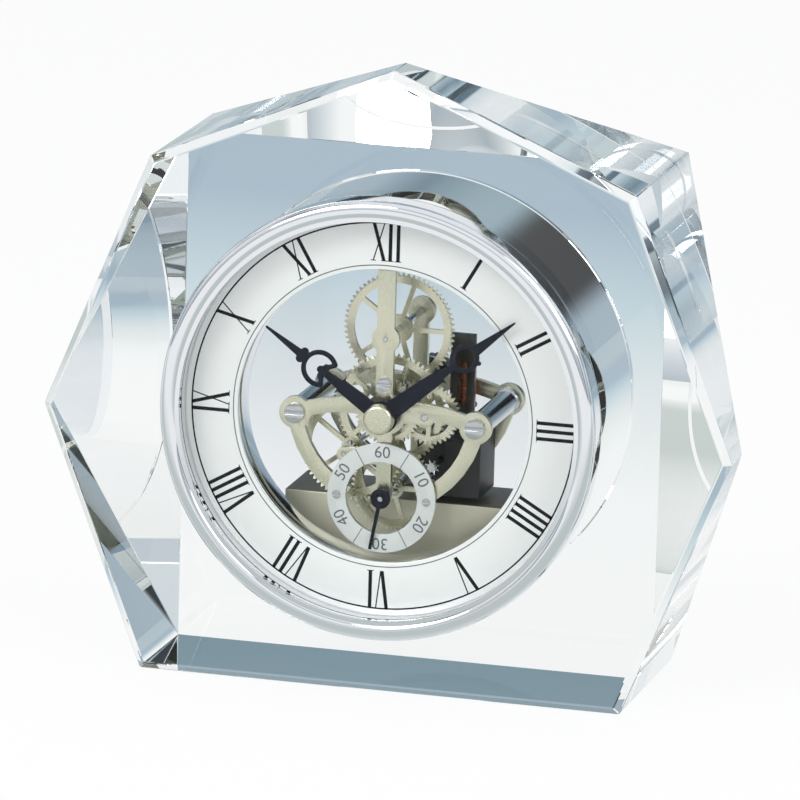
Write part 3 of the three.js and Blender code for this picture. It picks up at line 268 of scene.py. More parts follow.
def noise_surface(tree, given, out, spot, scale, detail):
    """Noise at a place as a roughness between the group's ends, and as a height."""
    noise = add(tree, "ShaderNodeTexNoise", Vector=spot, Scale=scale, Detail=detail).outputs["Fac"]
    feed(tree, out["Roughness"], spread(tree, noise, 0.3, 0.7, given["Low"], given["High"], "LINEAR"))
    feed(tree, out["Height"], noise)
    return noise


@once("node_groups")
def fine_grain():
    """Fine noise in object space, with a mask for a change of colour."""
    tree, given, out = new_effect("fine_grain", "Mask", Scale=900.0, Stretch=(1, 1, 1))
    spot = vector_calc(tree, "MULTIPLY", place(tree), given["Stretch"])
    noise = noise_surface(tree, given, out, spot, given["Scale"], 3)
    feed(tree, out["Mask"], calc(tree, "MULTIPLY_ADD", noise, 2.2, -0.6))
    return tree


@once("node_groups")
def turned_lines():
    """Fine rings round an axis along Y, as a lathe leaves them, and a painted sheen that sweeps round
    them.
    """
    tree, given, out = new_effect("turned_lines", "Sweep", Centre=(0, 0, 0), Pitch=4000.0)
    x, _, z = split(tree, vector_calc(tree, "SUBTRACT", place(tree), given["Centre"]))
    reach = calc(tree, "SQRT", calc(tree, "MULTIPLY_ADD", z, z, times(tree, x, x)))
    angle = calc(tree, "ARCTAN2", x, z)
    rings = times(tree, reach, given["Pitch"])
    noise_surface(tree, given, out, vector(tree, rings, times(tree, angle, 0.6)), 1, 2)
    # Painted sheen: bright and dark twice round the centre, used to darken the colour
    sheen_wave = calc(tree, "COSINE", times(tree, angle, 2))
    feed(tree, out["Sweep"], calc(tree, "MULTIPLY_ADD", sheen_wave, 0.5, 0.5))
    return tree


def start_material(name, **values):
    """A material, its tree, and its Principled shader with the given values."""
    material = bpy.data.materials.new(name)
    material.use_nodes = True
    tree = material.node_tree
    shader = tree.nodes["Principled BSDF"]
    for title, value in values.items():
        feed(tree, shader.inputs[title.replace("_", " ")], value)
    return material, tree, shader


def place_effect(tree, shader, group, **values):
    """An effect with its own values, whose roughness goes to the shader."""
    effect = add(tree, "ShaderNodeGroup", {"node_tree": group}, **values).outputs
    feed(tree, shader.inputs["Roughness"], effect["Roughness"])
    return effect


def two_tones(tree, shader, mask, base, share):
    """The base colour, darkened to a share of it where the mask is 0."""
    feed(tree, shader.inputs["Base Color"], mix_colours(tree, mask, darker(base, share), base))


def bump(tree, shader, height, distance):
    node = add(tree, "ShaderNodeBump", Distance=distance, Strength=1, Height=height)
    feed(tree, shader.inputs["Normal"], node.outputs["Normal"])


def surface(tree, shader):
    feed(tree, tree.nodes["Material Output"].inputs["Surface"], shader.outputs[0])


# Materials

def start_glass(name, index, base, passing):
    """Glass that lamps, soft bounced light and rays caught between facets pass straight through."""
    material, tree, shader = start_material(
        name, Roughness=0.0, IOR=index, Transmission_Weight=1.0, Base_Color=base
    )
    path = add(tree, "ShaderNodeLightPath").outputs
    soft = calc(tree, "MAXIMUM", path["Is Shadow Ray"], path["Is Diffuse Ray"])
    most_bounces = 2.5
    caught = calc(tree, "GREATER_THAN", path["Glossy Depth"], most_bounces)
    clear = add(tree, "ShaderNodeBsdfTransparent", Color=passing)
    surface(tree, mix_shaders(tree, calc(tree, "MAXIMUM", soft, caught), shader, clear))
    return material, tree, shader


@once("materials")
def crystal_glass():
    base = colours().crystal
    return start_glass("crystal_glass", index=1.52, base=base, passing=darker(base, 0.96))[0]


@once("materials")
def lens_glass():
    base, passing = (0.99, 0.99, 0.99), (0.98, 0.98, 0.98)
    return start_glass("lens_glass", index=1.12, base=base, passing=passing)[0]


@once("materials")
def clear_cover():
    base, passing = (0.9, 0.92, 0.94), (0.95, 0.96, 0.97)
    material, tree, shader = start_glass("clear_cover", index=1.3, base=base, passing=passing)
    place_effect(tree, shader, fine_grain(), Scale=260, Low=0.0, High=0.05)
    return material


@once("materials")
def polished_chrome():
    material, tree, shader = start_material(
        "polished_chrome", Metallic=1.0, Base_Color=colours().chrome
    )
    place_effect(tree, shader, turned_lines(), Centre=DIAL, Pitch=2500, Low=0.03, High=0.09)
    return material


@once("materials")
def silvered(name, base, centre):
    material, tree, shader = start_material(name, Metallic=0.25)
    lines = place_effect(tree, shader, turned_lines(), Centre=centre, Pitch=5000, Low=0.3, High=0.42)
    # Painted sheen: the colour falls to 0.93 of the base where the turned rings' sheen wave is low
    two_tones(tree, shader, lines["Sweep"], base, 0.93)
    bump(tree, shader, lines["Height"], 0.004 * MM)
    return material


@once("materials")
def plated_metal(name, base, low_gloss, high_gloss, worn, metallic=1.0):
    material, tree, shader = start_material(name, Metallic=metallic)
    grain = place_effect(
        tree, shader, fine_grain(), Scale=9000, Stretch=(0.3, 1, 1), Low=low_gloss, High=high_gloss
    )
    two_tones(tree, shader, grain["Mask"], base, worn)
    bump(tree, shader, grain["Height"], 0.002 * MM)
    return material


def champagne_plate():
    return plated_metal("champagne_plate", colours().champagne, 0.24, 0.34, 0.95)


def bright_steel():
    return plated_metal("bright_steel", colours().steel, 0.08, 0.16, 0.9)


def satin_holder():
    return plated_metal("satin_holder", colours().champagne, 0.45, 0.6, 0.95, 0.5)


def olive_plate():
    return plated_metal("olive_plate", (0.13, 0.12, 0.085), 0.35, 0.5, 0.8, 0.3)


def dark_steel():
    return plated_metal("dark_steel", (0.09, 0.09, 0.085), 0.2, 0.3, 0.85)


@once("materials")
def glossy_paint(name, base, low_gloss, high_gloss, coat, shine=0.5):
    material, tree, shader = start_material(
        name, Coat_Weight=coat, Specular_IOR_Level=shine, Base_Color=base
    )
    grain = place_effect(tree, shader, fine_grain(), Scale=7000, Low=low_gloss, High=high_gloss)
    bump(tree, shader, grain["Height"], 0.003 * MM)
    return material


def black_lacquer():
    return glossy_paint("black_lacquer", colours().lacquer, 0.2, 0.34, 0.04, 0.1)


def printing_ink():
    return glossy_paint("printing_ink", colours().ink, 0.45, 0.6, 0, 0.05)


def grey_ink():
    return glossy_paint("grey_ink", (0.1, 0.12, 0.13), 0.5, 0.6, 0)


def moulded_black():
    return glossy_paint("moulded_black", colours().moulding, 0.35, 0.6, 0)


def cell_sleeve():
    return glossy_paint("cell_sleeve", colours().sleeve, 0.2, 0.3, 0.6)


@once("materials")
def wound_copper():
    material, tree, shader = start_material("wound_copper", Metallic=0.8)
    settings = {"bands_direction": "Z"}
    turns = add(tree, "ShaderNodeTexWave", settings, Scale=900, Vector=place(tree)).outputs["Fac"]
    two_tones(tree, shader, turns, colours().copper, 0.4)
    place_effect(tree, shader, fine_grain(), Scale=1200, Low=0.2, High=0.35)
    bump(tree, shader, turns, 0.05 * MM)
    return material


# Mesh helpers

def finish_mesh(mesh, bm, *materials):
    bmesh.ops.recalc_face_normals(bm, faces=bm.faces[:])
    bm.to_mesh(mesh)
    bm.free()
    for material in materials:
        mesh.materials.append(material)
    mesh.shade_smooth()
    mesh.set_sharp_from_angle(angle=SMOOTH_ANGLE)
    return mesh


def new_mesh(bm, material):
    return finish_mesh(bpy.data.meshes.new("mesh"), bm, material)


def new_object(name, data):
    data.name = name
    piece = bpy.data.objects.new(name, data)
    bpy.context.scene.collection.objects.link(piece)
    return piece


def put(name, mesh, body, slot, *replaced):
    piece = new_object(name, mesh)
    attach(piece, body)
    if replaced:
        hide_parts(*replaced)


def arc(centre, radius, first, last, count):
    """Points of an arc in (radius, depth), with angles in degrees from outwards towards the back."""
    points = []
    for i in range(count + 1):
        angle = math.radians(first + (last - first) * i / count)
        points.append((centre[0] + radius * math.cos(angle), centre[1] + radius * math.sin(angle)))
    return points


def lathe(profile, material, steps=192):
    """A closed profile of (radius, depth) points turned round the dial's axis."""
    bm = bmesh.new()
    rings = []
    for reach, depth in profile:
        if reach == 0:
            rings.append([bm.verts.new((DIAL.x, depth, DIAL.z))])
            continue
        ring = []
        for i in range(steps):
            angle = math.tau * i / steps
            x, z = DIAL.x + reach * math.cos(angle), DIAL.z + reach * math.sin(angle)
            ring.append(bm.verts.new((x, depth, z)))
        rings.append(ring)
    for first, second in zip(rings, rings[1:] + rings[:1]):
        if len(first) == 1 and len(second) == 1:
            continue
        for i in range(steps):
            j = (i + 1) % steps
            corners = [first[i % len(first)], second[i % len(second)]]
            corners += [second[j % len(second)], first[j % len(first)]]
            bm.faces.new(list(dict.fromkeys(corners)))
    return new_mesh(bm, material)


def slab(bm, points, front, back):
    """An outline of (x, z) points made solid between two depths."""
    near = [bm.verts.new((x, front, z)) for x, z in points]
    far = [bm.verts.new((x, back, z)) for x, z in points]
    bm.faces.new(near)
    bm.faces.new(list(reversed(far)))
    for i in range(len(points)):
        j = (i + 1) % len(points)
        bm.faces.new((near[i], far[i], far[j], near[j]))


def rounded_copy(name, node, body, slot, material, edge, steps=2):
    """A CAD node's shape with its arrises rounded, standing for that node."""
    bm = bmesh.new()
    bm.from_mesh(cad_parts[node].data)
    bmesh.ops.remove_doubles(bm, verts=bm.verts[:], dist=0.0005 * MM)
    bmesh.ops.dissolve_limit(bm, angle_limit=math.radians(0.8), verts=bm.verts[:], edges=bm.edges[:])
    sharp = [e for e in bm.edges if len(e.link_faces) == 2 and e.calc_face_angle() > SMOOTH_ANGLE]
    bmesh.ops.bevel(
        bm, geom=sharp, offset=edge, segments=steps, profile=0.6, affect="EDGES", clamp_overlap=True
    )
    put(name, new_mesh(bm, material), body, slot, node)


def steel_copies(nodes, suffix, edge, steps=2):
    """Rounded copies of steel nodes that stand still."""
    for node in nodes:
        rounded_copy(node + suffix, node, "case", "steel", bright_steel(), edge, steps)


def evaluated_mesh(piece):
    """What the modifiers of a piece make, as a plain mesh, with the piece deleted."""
    graph = bpy.context.evaluated_depsgraph_get()
    mesh = bpy.data.meshes.new_from_object(piece.evaluated_get(graph))
    piece.modifiers.clear()
    bpy.data.objects.remove(piece)
    return mesh


# Crystal block

def heptagon():
    """The block's outline as (x, z) points."""
    wide, top = high("crystal_block").x, high("crystal_block").z
    s = sizes()
    right = [(s.shoulder_reach, 0), (wide, s.side_height), (s.shoulder_reach, s.shoulder_height)]
    left = [(-x, z) for x, z in right]
    return [left[0], *right, (0, top), left[2], left[1]]


def cut_away(bm, point, normal):
    """Cuts everything past a plane away and closes the cut."""
    parts = bm.verts[:] + bm.edges[:] + bm.faces[:]
    normal = Vector(normal).normalized()
    made = bmesh.ops.bisect_plane(bm, geom=parts, plane_co=point, plane_no=normal, clear_outer=True)
    rim = [e for e in made["geom_cut"] if isinstance(e, bmesh.types.BMEdge)]
    bmesh.ops.holes_fill(bm, edges=rim, sides=0)


def cut_block():
    """The prism with its rear facets, chamfers and arrises, before the bore."""
    s = sizes()
    front, back = depths("crystal_block")
    wide, top = high("crystal_block").x, high("crystal_block").z
    bm = bmesh.new()
    slab(bm, heptagon(), front, back)
    rise = back - front - s.thin_edge
    for side in (-1, 1):
        cut_away(bm, (side * s.shoulder_reach, back, 0), (side * rise, wide - s.shoulder_reach, 0))
    cut_away(bm, (0, back, s.shoulder_height), (0, top - s.shoulder_height, rise))
    bmesh.ops.recalc_face_normals(bm, faces=bm.faces[:])
    rim = [e for e in bm.edges if all(abs(v.co.y - front) < 0.001 * MM for v in e.verts)]
    bmesh.ops.bevel(bm, geom=rim, offset=s.facet_chamfer, segments=1, affect="EDGES")
    least_angle = math.radians(10)
    sharp = [e for e in bm.edges if e.calc_face_angle(0) > least_angle]
    bmesh.ops.bevel(bm, geom=sharp, offset=s.arris, segments=2, profile=0.5, affect="EDGES")
    return bm


def bored_block():
    clear = crystal_glass()
    front, back = depths("crystal_block")
    block = new_object("block", new_mesh(cut_block(), clear))
    reach = radius_of("case_drum") + sizes().bore_gap
    over, lip = 1 * MM, 0.35 * MM
    mouth = reach + lip + over
    profile = [(0, front - over), (mouth, front - over), (reach, front + lip)]
    profile += [(reach, back - lip), (mouth, back + over), (0, back + over)]
    tool = new_object("bore", lathe(profile, clear))
    cut = block.modifiers.new("bore", "BOOLEAN")
    cut.operation = "DIFFERENCE"
    cut.solver = "EXACT"
    cut.object = tool
    mesh = evaluated_mesh(block)
    bpy.data.objects.remove(tool)
    mesh.shade_smooth()
    mesh.set_sharp_from_angle(angle=math.radians(8))
    return mesh


# Profiles of the turned pieces, as (radius, depth) points

def bezel_profile():
    front, back = depths("bezel")
    outer, inner = radius_of("bezel"), radius_of("lens") - 1.1 * MM
    seat, recess = low("lens").y - 0.15 * MM, radius_of("lens") + 0.15 * MM
    lip, groove, foot = 0.35 * MM, 0.3 * MM, 0.3 * MM
    crown = 1.9 * MM
    shoulder = crown * 1.1
    profile = [(inner, seat)]
    profile += arc((inner + lip, front + 0.9 * MM), lip, 180, 300, 6)
    profile += arc((inner + 1.15 * MM, front + 0.62 * MM), groove, 120, 40, 5)
    profile += arc((outer - 2.6 * MM, front + crown), crown, 215, 270, 10)
    profile += arc((outer - shoulder, front + shoulder), shoulder, 278, 360, 14)
    profile += [(outer, back - 0.9 * MM)]
    profile += arc((outer - foot, back - foot), foot, 0, 90, 4)
    return profile + [(recess, back), (recess, seat)]


def ring_profile(inner, outer, front, back, edge):
    profile = arc((inner + edge, front + edge), edge, 180, 270, 3)
    profile += arc((outer - edge, front + edge), edge, 270, 360, 3)
    profile += arc((outer - edge, back - edge), edge, 0, 90, 3)
    return profile + arc((inner + edge, back - edge), edge, 90, 180, 3)


def ring_of(node, wall, edge):
    """The profile of a plain ring node, whose wall is given."""
    return ring_profile(radius_of(node) - wall, radius_of(node), *depths(node), edge)


def lens_profile():
    reach, edge = radius_of("lens"), 0.15 * MM
    front, back = depths("lens")
    profile = [(0, front), (reach - edge, front), (reach, front + edge)]
    return profile + [(reach, back - edge), (reach - edge, back), (0, back)]


def drum_profile():
    outer, wall, flange, flange_depth = radius_of("case_drum"), 1.5 * MM, 5.5 * MM, 1 * MM
    front, back = depths("case_drum")
    inner, hole, step = outer - wall, outer - flange, front + flange_depth
    return [(hole, front), (outer, front), (outer, back), (inner, back), (inner, step), (hole, step)]


def cover_profile():
    outer, wall, hole = radius_of("dust_cover"), 1.5 * MM, 5.5 * MM
    corner, fillet = 1.2 * MM, 0.4 * MM
    front, back = depths("dust_cover")
    profile = [(outer - wall, front), (outer, front)]
    profile += arc((outer - corner, back - corner), corner, 0, 90, 8)
    profile += [(hole, back), (hole, back - wall), (outer - wall - fillet, back - wall)]
    return profile + [(outer - wall, back - wall - fillet)]


def nut_profile():
    reach, crown, stem = radius_of("hand_nut"), 0.9 * MM, 1.28 * MM
    front, back = depths("hand_nut")
    inside = back - 1.35 * MM
    profile = [(0, front)] + arc((reach - crown, front + crown), crown, 270, 360, 10)
    return profile + [(reach, back), (stem, back), (stem, inside), (0, inside)]


# Numerals and figures

HOURS = ("XII", "I", "II", "III", "IIII", "V", "VI", "VII", "VIII", "IX", "X", "XI")
FIGURES = ("60", "10", "20", "30", "40", "50")

# In thick strokes: the room that a letter takes, its margin at each side, and a thin stroke
LETTER_ROOM = {"I": 2.2, "V": 4.3, "X": 4.3}
LETTER_MARGIN = 0.62
THIN_STROKE = 0.34


def polar(angle, reach, side):
    """A place on the dial: degrees clockwise from 12, distance from the centre, offset clockwise."""
    turn = math.radians(angle)
    x = DIAL.x + reach * math.sin(turn) + side * math.cos(turn)
    z = DIAL.z + reach * math.cos(turn) - side * math.sin(turn)
    return x, z


def numeral_strokes(text):
    """Strokes of a Roman numeral as (side at foot, side at head, width), and its serifs as
    (middle, 0 at the foot or 1 at the head, width)."""
    thick = sizes().numeral_stroke
    thin = thick * THIN_STROKE
    rooms = [thick * LETTER_ROOM[letter] for letter in text]
    strokes, serifs = [], []
    at = -sum(rooms) / 2
    for letter, room in zip(text, rooms):
        left, right = at + thick * LETTER_MARGIN, at + room - thick * LETTER_MARGIN
        centre = (left + right) / 2
        if letter == "I":
            strokes.append((centre, centre, thick))
            serifs += [(centre, 0, thick * 1.9), (centre, 1, thick * 1.9)]
        elif letter == "V":
            strokes += [(centre, left, thick), (centre + thin, right, thin)]
            serifs += [(left, 1, thick * 1.8), (right, 1, thick * 1.5)]
        else:
            strokes += [(right, left, thick), (left, right, thin)]
            serifs += [(left, 1, thick * 1.7), (right, 1, thick * 1.5)]
            serifs += [(left, 0, thick * 1.5), (right, 0, thick * 1.7)]
        at += room
    return strokes, serifs


def numeral(bm, text, angle, front, back):
    s = sizes()
    foot = s.numeral_radius - s.numeral_height / 2
    head = s.numeral_radius + s.numeral_height / 2
    serif = s.numeral_stroke * 0.22
    strokes, serifs = numeral_strokes(text)
    shapes = [(foot, at_foot, head, at_head, width) for at_foot, at_head, width in strokes]
    for centre, end, width in serifs:
        reach = head - serif if end else foot
        shapes.append((reach, centre, reach + serif, centre, width))
    for first, at_first, last, at_last, width in shapes:
        corners = [(first, at_first - width / 2), (first, at_first + width / 2)]
        corners += [(last, at_last + width / 2), (last, at_last - width / 2)]
        slab(bm, [polar(angle, reach, side) for reach, side in corners], front, back)


def numerals_mesh():
    back = low("dial_ring").y
    bm = bmesh.new()
    for hour, text in enumerate(HOURS):
        numeral(bm, text, hour * 30, back - sizes().print_thickness, back)
    return new_mesh(bm, printing_ink())


def text_mesh(words, height):
    """Built-in lettering as a mesh, centred, of a given height."""
    letter_size = 1.38
    curve = bpy.data.curves.new(words, "FONT")
    curve.body = words
    curve.align_x = curve.align_y = "CENTER"
    curve.size = height * letter_size
    curve.extrude = sizes().print_thickness / 2
    return evaluated_mesh(new_object(words, curve))


def small_ring():
    """The width of the small dial's ring, the radius of its middle, and its printed centre."""
    outer, opening = radius_of("seconds_dial"), 8.8 / 13.2
    width = outer * (1 - opening)
    front = low("seconds_dial").y - sizes().print_thickness / 2
    return width, outer - width / 2, Vector((SMALL_DIAL.x, front, SMALL_DIAL.z))


def small_figures_mesh():
    """The figures round the small dial, each standing on the centre."""
    _, reach, centre = small_ring()
    upright = Matrix.Translation((0, 0, reach)) @ Matrix.Rotation(math.radians(90), 4, "X")
    bm = bmesh.new()
    for step, words in enumerate(FIGURES):
        mesh = text_mesh(words, sizes().small_text)
        turn = Matrix.Rotation(math.radians(step * 60), 4, "Y")
        mesh.transform(Matrix.Translation(centre) @ turn @ upright)
        bm.from_mesh(mesh)
    return new_mesh(bm, grey_ink())


# Geometry node trees

def transform(tree, shape, **values):
    return add(tree, "GeometryNodeTransform", Geometry=shape, **values).outputs["Geometry"]


def around(tree, count, reach, shape, offset=0.0):
    """Copies of a shape spread evenly round the Z axis, each turned outwards."""
    index = add(tree, "GeometryNodeInputIndex").outputs[0]
    turn = times(tree, calc(tree, "DIVIDE", index, count), math.tau)
    across = times(tree, calc(tree, "COSINE", turn), reach)
    along = times(tree, calc(tree, "SINE", turn), reach)
    points = add(tree, "GeometryNodePoints", Count=count, Position=vector(tree, across, along))
    copies = add(
        tree, "GeometryNodeInstanceOnPoints",
        Points=points.outputs[0], Instance=shape, Rotation=vector(tree, z=turn),
    ).outputs["Instances"]
    return transform(tree, copies, Rotation=vector(tree, z=offset))


def box_node(tree, along, across, height):
    return add(tree, "GeometryNodeMeshCube", Size=vector(tree, along, across, height)).outputs["Mesh"]


def flat_ring(tree, middle_radius, width, height, steps):
    """A ring of rectangular section round the Z axis."""
    path = add(tree, "GeometryNodeCurvePrimitiveCircle", Resolution=steps, Radius=middle_radius)
    section = add(tree, "GeometryNodeCurvePrimitiveQuadrilateral", Width=width, Height=height)
    return add(
        tree, "GeometryNodeCurveToMesh",
        Curve=path.outputs["Curve"], Profile_Curve=section.outputs["Curve"],
    ).outputs["Mesh"]


def tooth(tree, height, width, thickness):
    """A four-sided tooth along X that narrows outwards. The cone's foot is 0.71 wide, so 1.41 brings
    it to the full width, and 1.35 leaves it a little thinner than the rim."""
    cone = add(tree, "GeometryNodeMeshCone", Vertices=4, Radius_Top=0.16, Radius_Bottom=0.5, Depth=1)
    square = transform(tree, cone.outputs["Mesh"], Rotation=(0, 0, math.radians(45)))
    lying = transform(tree, square, Rotation=(0, math.radians(90), 0))
    across = times(tree, width, 1.41)
    deep = times(tree, thickness, 1.35)
    return transform(tree, lying, Scale=vector(tree, height, across, deep))


def start_tree(name, **inputs):
    """A tree that grows a mesh, with a material among its inputs."""
    inputs["Material"] = None
    return new_group("GeometryNodeTree", name, inputs, "NodeSocketGeometry", "Geometry")


def close_tree(tree, given, out, shapes):
    """Joins the shapes, makes copies real and gives them the material."""
    join = tree.nodes.new("GeometryNodeJoinGeometry")
    for shape in shapes:
        tree.links.new(shape, join.inputs[0])
    real = add(tree, "GeometryNodeRealizeInstances", Geometry=join.outputs[0]).outputs[0]
    finish = add(tree, "GeometryNodeSetMaterial", Geometry=real, Material=given["Material"])
    feed(tree, out[0], finish.outputs[0])
    return tree


@once("node_groups")
def wheel_tree():
    """A spoked wheel: teeth, rim, spokes and hub round the Z axis."""
    tree, given, out = start_tree(
        "wheel_tree", Teeth=64, Spokes=5, Root_Radius=0.012, Tooth_Height=0.0009,
        Tooth_Width=0.0006, Rim_Width=0.0012, Hub_Radius=0.003, Bore_Radius=0.0009,
        Spoke_Width=0.0011, Thickness=0.001, Phase=0.0,
    )
    root, rim_width, thickness = given["Root Radius"], given["Rim Width"], given["Thickness"]
    hub_radius, bore_radius = given["Hub Radius"], given["Bore Radius"]
    one_tooth = tooth(tree, given["Tooth Height"], given["Tooth Width"], thickness)
    teeth = around(tree, given["Teeth"], root, one_tooth, given["Phase"])
    rim_middle = calc(tree, "SUBTRACT", root, times(tree, rim_width, 0.5))
    rim = flat_ring(tree, rim_middle, rim_width, thickness, 96)
    hub_width = calc(tree, "SUBTRACT", hub_radius, bore_radius)
    hub_middle = times(tree, calc(tree, "ADD", hub_radius, bore_radius), 0.5)
    hub = flat_ring(tree, hub_middle, hub_width, times(tree, thickness, 1.2), 40)
    reach = calc(tree, "SUBTRACT", rim_middle, hub_middle)
    spoke_middle = calc(tree, "ADD", hub_middle, times(tree, reach, 0.5))
    spoke = box_node(tree, reach, given["Spoke Width"], times(tree, thickness, 0.96))
    spokes = around(tree, given["Spokes"], spoke_middle, spoke)
    return close_tree(tree, given, out, [teeth, rim, hub, spokes])


@once("node_groups")
def ray_tree():
    """Thin bars spread round the Z axis, for the small dial's marks."""
    tree, given, out = start_tree(
        "ray_tree", Count=6, Radius=0.011, Length=0.004, Width=0.0002, Height=0.00003, Phase=0.0
    )
    bar = box_node(tree, given["Length"], given["Width"], given["Height"])
    bars = around(tree, given["Count"], given["Radius"], bar, given["Phase"])
    return close_tree(tree, given, out, [bars])


def grown(tree, at, **values):
    """The mesh that a tree grows, turned to face -Y and moved to its place."""
    holder = new_object("grown", bpy.data.meshes.new("grown"))
    modifier = holder.modifiers.new("grow", "NODES")
    modifier.node_group = tree
    for item in tree.interface.items_tree:
        title = item.name.replace(" ", "_")
        if item.in_out == "INPUT" and title in values:
            modifier[item.identifier] = values[title]
    mesh = evaluated_mesh(holder)
    mesh.transform(Matrix.Translation(at) @ Matrix.Rotation(math.radians(90), 4, "X"))
    bm = bmesh.new()
    bm.from_mesh(mesh)
    bmesh.ops.remove_doubles(bm, verts=bm.verts[:], dist=0.0002 * MM)
    return finish_mesh(mesh, bm)


def tooth_phase(node, teeth):
    """The angle of a wheel's teeth, from the tips of its CAD node."""
    at = middle(node)
    reach = radius_of(node) * 0.97
    x_sum = z_sum = 0
    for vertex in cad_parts[node].data.vertices:
        x, z = vertex.co.x - at.x, vertex.co.z - at.z
        if math.hypot(x, z) > reach:
            x_sum += math.cos(teeth * math.atan2(z, x))
            z_sum += math.sin(teeth * math.atan2(z, x))
    return math.atan2(z_sum, x_sum) / teeth


def spoked_wheel(body, teeth, hub):
    """A train wheel with teeth and five spokes, standing for its CAD node."""
    node = body + "_wheel"
    outer = radius_of(node)
    past_pitch, tall, broad = 0.8, 2.1, 2.2
    module = outer / (teeth / 2 + past_pitch)
    height = module * tall
    mesh = grown(
        wheel_tree(), middle(node), Material=champagne_plate(), Teeth=teeth, Spokes=5,
        Root_Radius=outer - height / 2, Tooth_Height=height, Tooth_Width=module * broad,
        Rim_Width=1.7 * MM, Hub_Radius=hub, Bore_Radius=0.85 * MM,
        Spoke_Width=sizes().spoke_width, Thickness=(high(node).y - low(node).y) * 0.8,
        Phase=tooth_phase(node, teeth),
    )
    put(node + "_cut", mesh, body, "champagne", node)


# Operators

class CrystalBlock(bpy.types.Operator):
    """Cuts, bores and polishes the crystal block"""

    bl_idname = "clock.crystal_block"
    bl_label = "Crystal block"

    def execute(self, context):
        put("crystal_block_polished", bored_block(), "case", "crystal", "crystal_block")
        return {"FINISHED"}


class Case(bpy.types.Operator):
    """Makes the bezel, lens, spacer, drum and dust cover"""

    bl_idname = "clock.case"
    bl_label = "Case"

    def execute(self, context):
        chrome = polished_chrome()
        spacer = ring_of("lens_spacer", 0.9 * MM, 0.1 * MM)
        for name, node, slot, profile, material in (
            ("bezel_domed", "bezel", "chrome", bezel_profile(), chrome),
            ("spacer_polished", "lens_spacer", "chrome", spacer, chrome),
            ("drum_polished", "case_drum", "chrome", drum_profile(), chrome),
            ("cover_clear", "dust_cover", "clear_plastic", cover_profile(), clear_cover()),
            ("lens_clear", "lens", "clear_plastic", lens_profile(), lens_glass()),
        ):
            put(name, lathe(profile, material), "case", slot, node)
        return {"FINISHED"}


class Dial(bpy.types.Operator):
    """Makes the dial ring with its numerals, and the cup behind it"""

    bl_idname = "clock.dial"
    bl_label = "Dial"

    def execute(self, context):
        cup_wall = 0.8 * MM
        opening = radius_of("dial_cup") - cup_wall
        ring = ring_of("dial_ring", radius_of("dial_ring") - opening, 0.12 * MM)
        finish = silvered("silvered_dial", colours().silver, DIAL)
        put("dial_silvered", lathe(ring, finish), "case", "silvered", "dial_ring")
        cup = ring_of("dial_cup", cup_wall, 0.2 * MM)
        put("cup_polished", lathe(cup, polished_chrome()), "case", "chrome", "dial_cup")
        put("hour_numerals", numerals_mesh(), "case", "black_hand")
        back = low("dial_ring").y
        front = back - sizes().print_thickness
        # The inner grey line is print; the outer black line is a painted shadow of the bezel's inner
        # lip, drawn all round with the numerals' ink material
        lines = (
            (opening + 0.9 * MM, 0.24 * MM, grey_ink()),
            (radius_of("bezel") - 6.6 * MM, 0.38 * MM, printing_ink()),
        )
        for number, (reach, width, ink) in enumerate(lines):
            profile = ring_profile(reach, reach + width, front, back, 0.004 * MM)
            put(f"dial_line_{number}", lathe(profile, ink), "case", "black_hand")
        return {"FINISHED"}


class SmallDial(bpy.types.Operator):
    """Makes the small seconds dial with its figures, marks and screws"""

    bl_idname = "clock.small_dial"
    bl_label = "Small dial"

    def execute(self, context):
        finish = silvered("silvered_small_dial", colours().grey_silver, SMALL_DIAL)
        rounded_copy("small_dial", "seconds_dial", "case", "silvered", finish, 0.06 * MM)
        put("seconds_figures", small_figures_mesh(), "case", "black_hand")
        width, reach, at = small_ring()
        for number, degrees in enumerate((60, 120)):
            marks = grown(
                ray_tree(), at, Material=grey_ink(), Count=2, Radius=reach, Length=width * 0.98,
                Width=0.2 * MM, Height=sizes().print_thickness, Phase=math.radians(degrees),
            )
            put(f"seconds_marks_{number}", marks, "case", "black_hand")
        steel_copies(("seconds_dial_screw_left", "seconds_dial_screw_right"), "_bright", 0.05 * MM)
        return {"FINISHED"}


class Hands(bpy.types.Operator):
    """Makes the hour, minute and seconds hands and the centre nut"""

    bl_idname = "clock.hands"
    bl_label = "Hands"

    def execute(self, context):
        bodies = {"hour_hand": "hours", "minute_hand": "minutes", "seconds_hand": "seconds"}
        for node, body in bodies.items():
            rounded_copy(node + "_lacquered", node, body, "black_hand", black_lacquer(), 0.09 * MM)
        nut = lathe(nut_profile(), champagne_plate(), steps=64)
        put("hand_nut_turned", nut, "minutes", "champagne", "hand_nut")
        return {"FINISHED"}


class Wheels(bpy.types.Operator):
    """Makes the toothed wheels, pinions and arbors of the train"""

    bl_idname = "clock.wheels"
    bl_label = "Wheels"

    def execute(self, context):
        spoked_wheel("great", 64, 3.4 * MM)
        spoked_wheel("centre", 64, 3.2 * MM)
        spoked_wheel("third", 60, 2.6 * MM)
        spoked_wheel("seconds", 48, 2.6 * MM)
        wheels = {"minute_wheel": "motion_work", "hour_wheel": "hours"}
        turned = {
            "drive_pinion": "centre", "third_arbor": "third", "seconds_arbor": "seconds",
            "centre_arbor": "minutes", "great_arbor": "great", "motor_pinion": "motor",
            "minute_stud": "case",
        }
        for slot, material, bodies in (
            ("champagne", champagne_plate(), wheels), ("steel", bright_steel(), turned)
        ):
            for node, body in bodies.items():
                rounded_copy(node + "_cut", node, body, slot, material, 0.04 * MM, 1)
        return {"FINISHED"}


